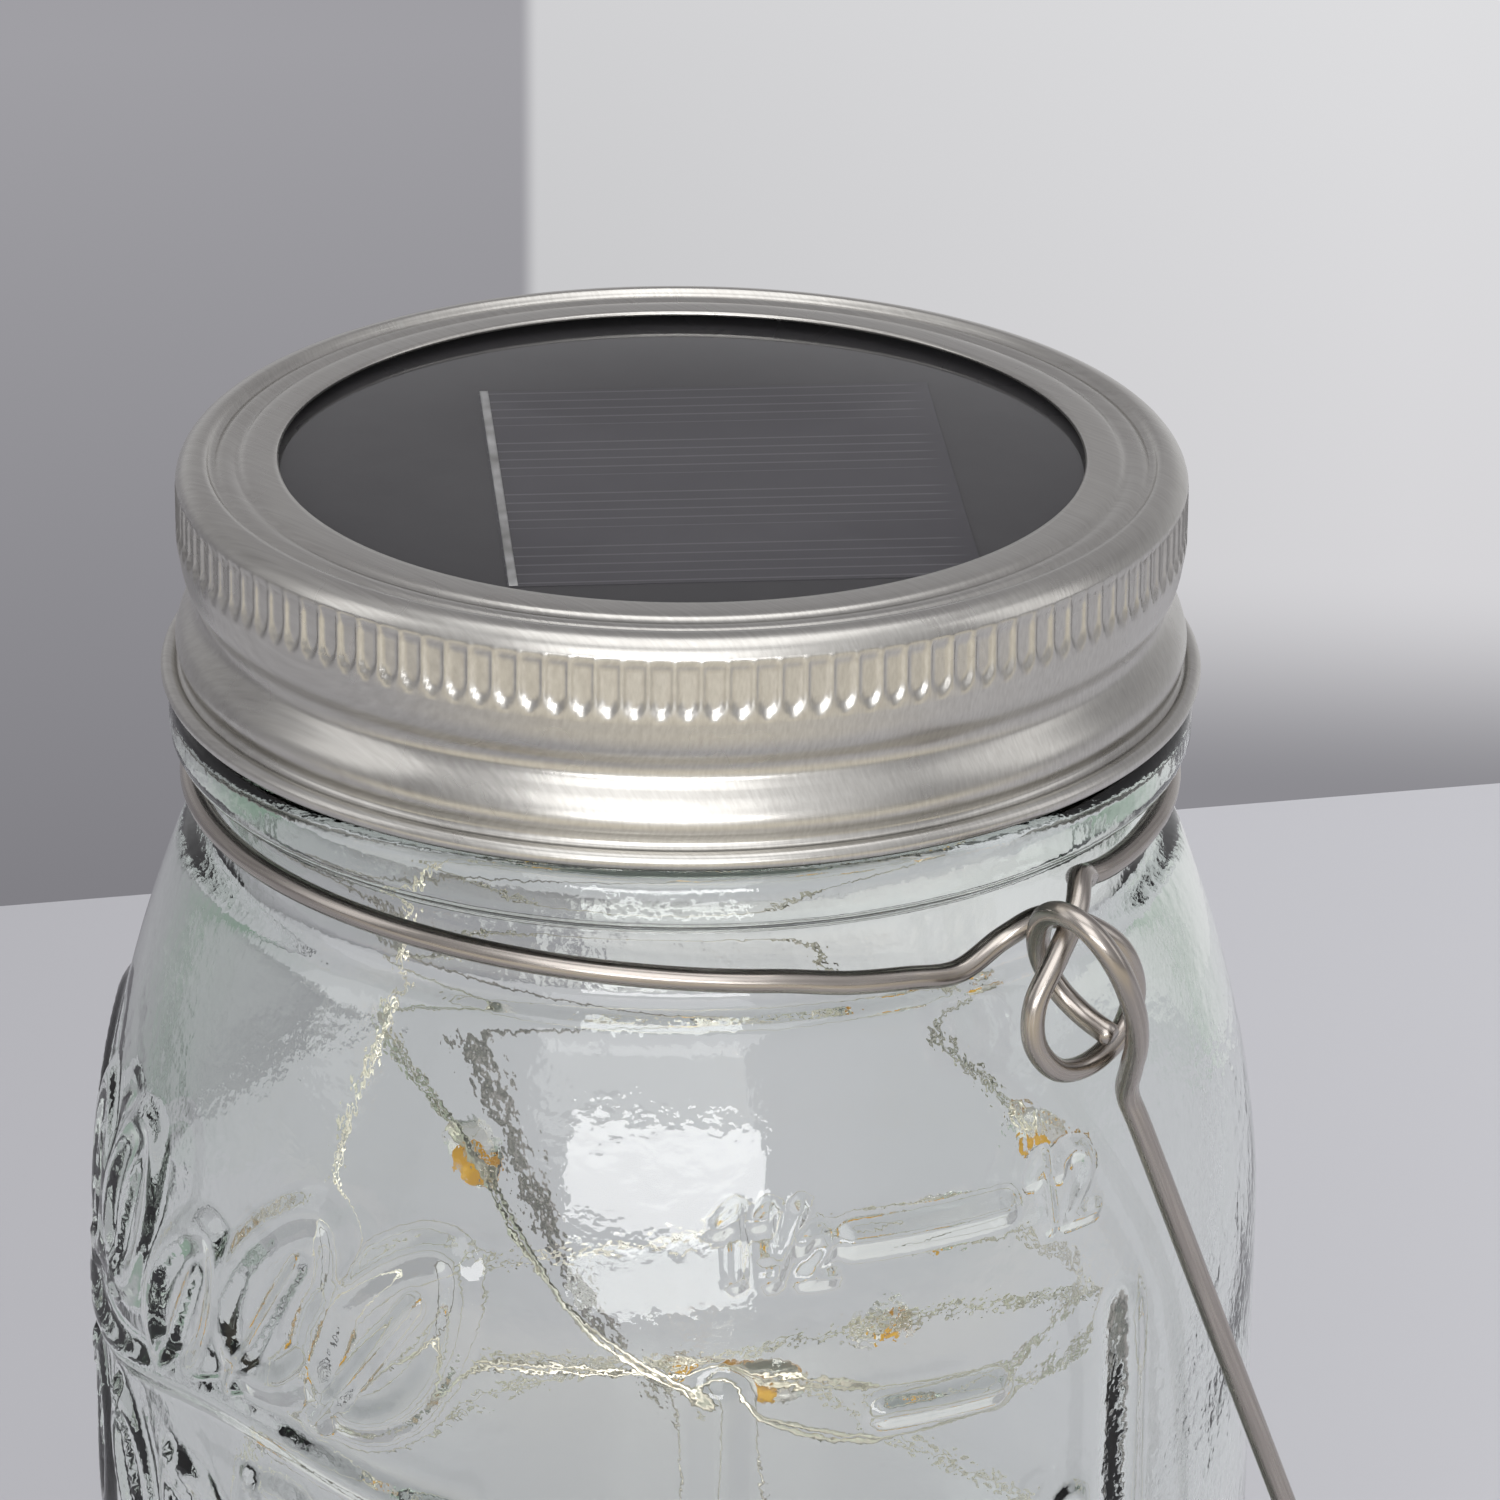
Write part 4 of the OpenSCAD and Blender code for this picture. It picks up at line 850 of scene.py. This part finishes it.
def set_world():
    """The studio, by direction: a grey panel at the left, a pale one at the right with a
    painted shadow darkening its foot, grey above them and at both sides, which is green for
    rays that come through glass, and for diffuse rays an even soft light."""
    world = bpy.data.worlds.new("studio")
    bpy.context.scene.world = world
    world.use_nodes = True
    tree = world.node_tree
    tree.nodes.clear()
    place = add(tree, "TexCoord", {})
    way = place.outputs["Generated"]
    ahead = add(tree, "VectorMath", {"operation": "DOT_PRODUCT", 0: way, 1: (AWAY[0], AWAY[1], 0)})
    right = ACROSS + 0.0205 * AWAY
    side = add(tree, "VectorMath", {"operation": "DOT_PRODUCT", 0: way, 1: (right[0], right[1], 0)})
    height = add(tree, "SeparateXYZ", {"Vector": way}).outputs["Z"]
    forward = add(tree, "MapRange", {"interpolation_type": "SMOOTHSTEP",
                                     "Value": ahead.outputs["Value"],
                                     "From Min": 0.1, "From Max": 0.5})
    path = add(tree, "LightPath", {})

    # The grey panel at the left.
    grey = add(tree, "MapRange", {"interpolation_type": "SMOOTHSTEP",
                                  "Value": side.outputs["Value"],
                                  "From Min": 0.0014, "From Max": -0.0012})
    below = add(tree, "MapRange", {"interpolation_type": "SMOOTHSTEP", "Value": height,
                                   "From Min": 0.12, "From Max": -0.12})
    left = add(tree, "Math", {"operation": "MULTIPLY", 0: grey.outputs[0], 1: forward.outputs[0]})
    left = add(tree, "Math", {"operation": "MULTIPLY", 0: left.outputs[0], 1: below.outputs[0]})
    left_low = add(tree, "MapRange", {"Value": height, "From Min": -0.41, "From Max": -0.31})
    left_tone = add(tree, "Mix", {"data_type": "RGBA", 0: left_low.outputs[0],
                                  6: colour("#807F84"), 7: colour("#A09FA4")})

    # The pale panel at the right: paler outwards and upwards, with a painted shadow darkening its
    # foot.
    right_low = add(tree, "MapRange", {"Value": height, "From Min": -0.37, "From Max": -0.30})
    near_tone = add(tree, "Mix", {"data_type": "RGBA", 0: right_low.outputs[0],
                                  6: colour("#C2C2C4"), 7: colour("#D1D1D3")})
    far_tone = add(tree, "Mix", {"data_type": "RGBA", 0: right_low.outputs[0],
                                 6: colour("#D6D5D8"), 7: colour("#DEDEE0")})
    outward = add(tree, "MapRange", {"Value": side.outputs["Value"], "From Min": 0.0,
                                     "From Max": 0.11})
    right_tone = add(tree, "Mix", {"data_type": "RGBA", 0: outward.outputs[0],
                                   6: near_tone.outputs[2], 7: far_tone.outputs[2]})
    # Painted shadow at the foot of the right panel.
    foot_shadow = add(tree, "MapRange", {"interpolation_type": "SMOOTHSTEP", "Value": height,
                                  "From Min": -0.3963, "From Max": -0.3690})
    foot_shadow = add(tree, "Math", {"operation": "SUBTRACT", 0: 1.0, 1: foot_shadow.outputs[0]})
    foot_shadow = add(tree, "Math", {"operation": "MULTIPLY", 0: foot_shadow.outputs[0], 1: forward.outputs[0]})
    right_tone = add(tree, "Mix", {"data_type": "RGBA", 0: foot_shadow.outputs[0],
                                   6: right_tone.outputs[2], 7: colour("#8C8B90")})
    wall = add(tree, "Mix", {"data_type": "RGBA", 0: left.outputs[0], 6: right_tone.outputs[2],
                             7: left_tone.outputs[2]})

    # What is above the panels and beside them.
    above = add(tree, "MapRange", {"interpolation_type": "SMOOTHSTEP", "Value": height,
                                   "From Min": 0.0, "From Max": 0.45})
    above = add(tree, "Math", {"operation": "MULTIPLY", 0: above.outputs[0],
                               1: forward.outputs[0]})
    wall = add(tree, "Mix", {"data_type": "RGBA", 0: above.outputs[0], 6: wall.outputs[2],
                             7: colour("#A3A2A5")})
    beside = add(tree, "Math", {"operation": "ABSOLUTE", 0: side.outputs["Value"]})
    beside = add(tree, "MapRange", {"interpolation_type": "SMOOTHSTEP", "Value": beside.outputs[0],
                                    "From Min": 0.4, "From Max": 0.9, "To Max": 0.7})
    beside_tone = add(tree, "Mix", {"data_type": "RGBA", 0: path.outputs["Is Transmission Ray"],
                                    6: colour("#868588"), 7: colour("#6C8E76")})
    wall = add(tree, "Mix", {"data_type": "RGBA", 0: beside.outputs[0], 6: wall.outputs[2],
                             7: beside_tone.outputs[2]})

    # The panels show to the camera, in gloss and through glass. Diffuse rays meet even light.
    seen = add(tree, "Background", {"Color": wall.outputs[2], "Strength": 1.0})
    even_light = add(tree, "Background", {"Color": (0.96, 0.97, 1.0, 1), "Strength": 0.62})
    shown = add(tree, "Math", {"operation": "MAXIMUM", 0: path.outputs["Is Camera Ray"],
                               1: path.outputs["Is Glossy Ray"]})
    shown = add(tree, "Math", {"operation": "MAXIMUM", 0: shown.outputs[0],
                               1: path.outputs["Is Transmission Ray"]})
    both = add(tree, "MixShader", {0: shown.outputs[0], 1: even_light.outputs[0],
                                   2: seen.outputs[0]})
    add(tree, "OutputWorld", {"Surface": both.outputs[0]})


def set_lamp(name, place, aim, wide, tall, power):
    """A soft box: a lamp of that width and height, in metres, facing its aim. The camera
    doesn't see it."""
    data = bpy.data.lights.new(name, "AREA")
    data.shape, data.size, data.size_y, data.energy = "RECTANGLE", wide, tall, power
    lamp = bpy.data.objects.new(name, data)
    bpy.context.scene.collection.objects.link(lamp)
    look = (Vector(aim) - Vector(place)).to_track_quat("-Z", "Y").to_matrix().to_4x4()
    lamp.matrix_world = Matrix.Translation(Vector(place)) @ look
    lamp.visible_camera = False


def toward(turn, rise, distance):
    """A place seen from the jar: degrees to the right of the camera's side, degrees up,
    and metres away."""
    a = VIEW_TURN + math.radians(turn)
    e = math.radians(rise)
    flat = distance * math.cos(e)
    return flat * math.cos(a), flat * math.sin(a), JAR_MIDDLE[2] + distance * math.sin(e)


set_table()
set_world()
set_lamp("front_low_box", toward(-3, 5.5, 1.15), JAR_MIDDLE, 0.78, 0.19, 3.4)
set_lamp("front_high_box", toward(-8, 34, 1.15), JAR_MIDDLE, 0.90, 0.66, 3.6)
set_lamp("top_box", (0.1, -0.1, 1.3), NECK_MIDDLE, 0.9, 0.9, 3.6)
set_lamp("left_box", toward(-80, 28, 1.3), NECK_MIDDLE, 0.5, 0.9, 1.4)
set_lamp("right_box", toward(85, 25, 1.3), NECK_MIDDLE, 0.5, 0.9, 1.2)

scene = bpy.context.scene
scene.view_settings.view_transform = "Standard"
scene.cycles.caustics_reflective = False
scene.cycles.caustics_refractive = False
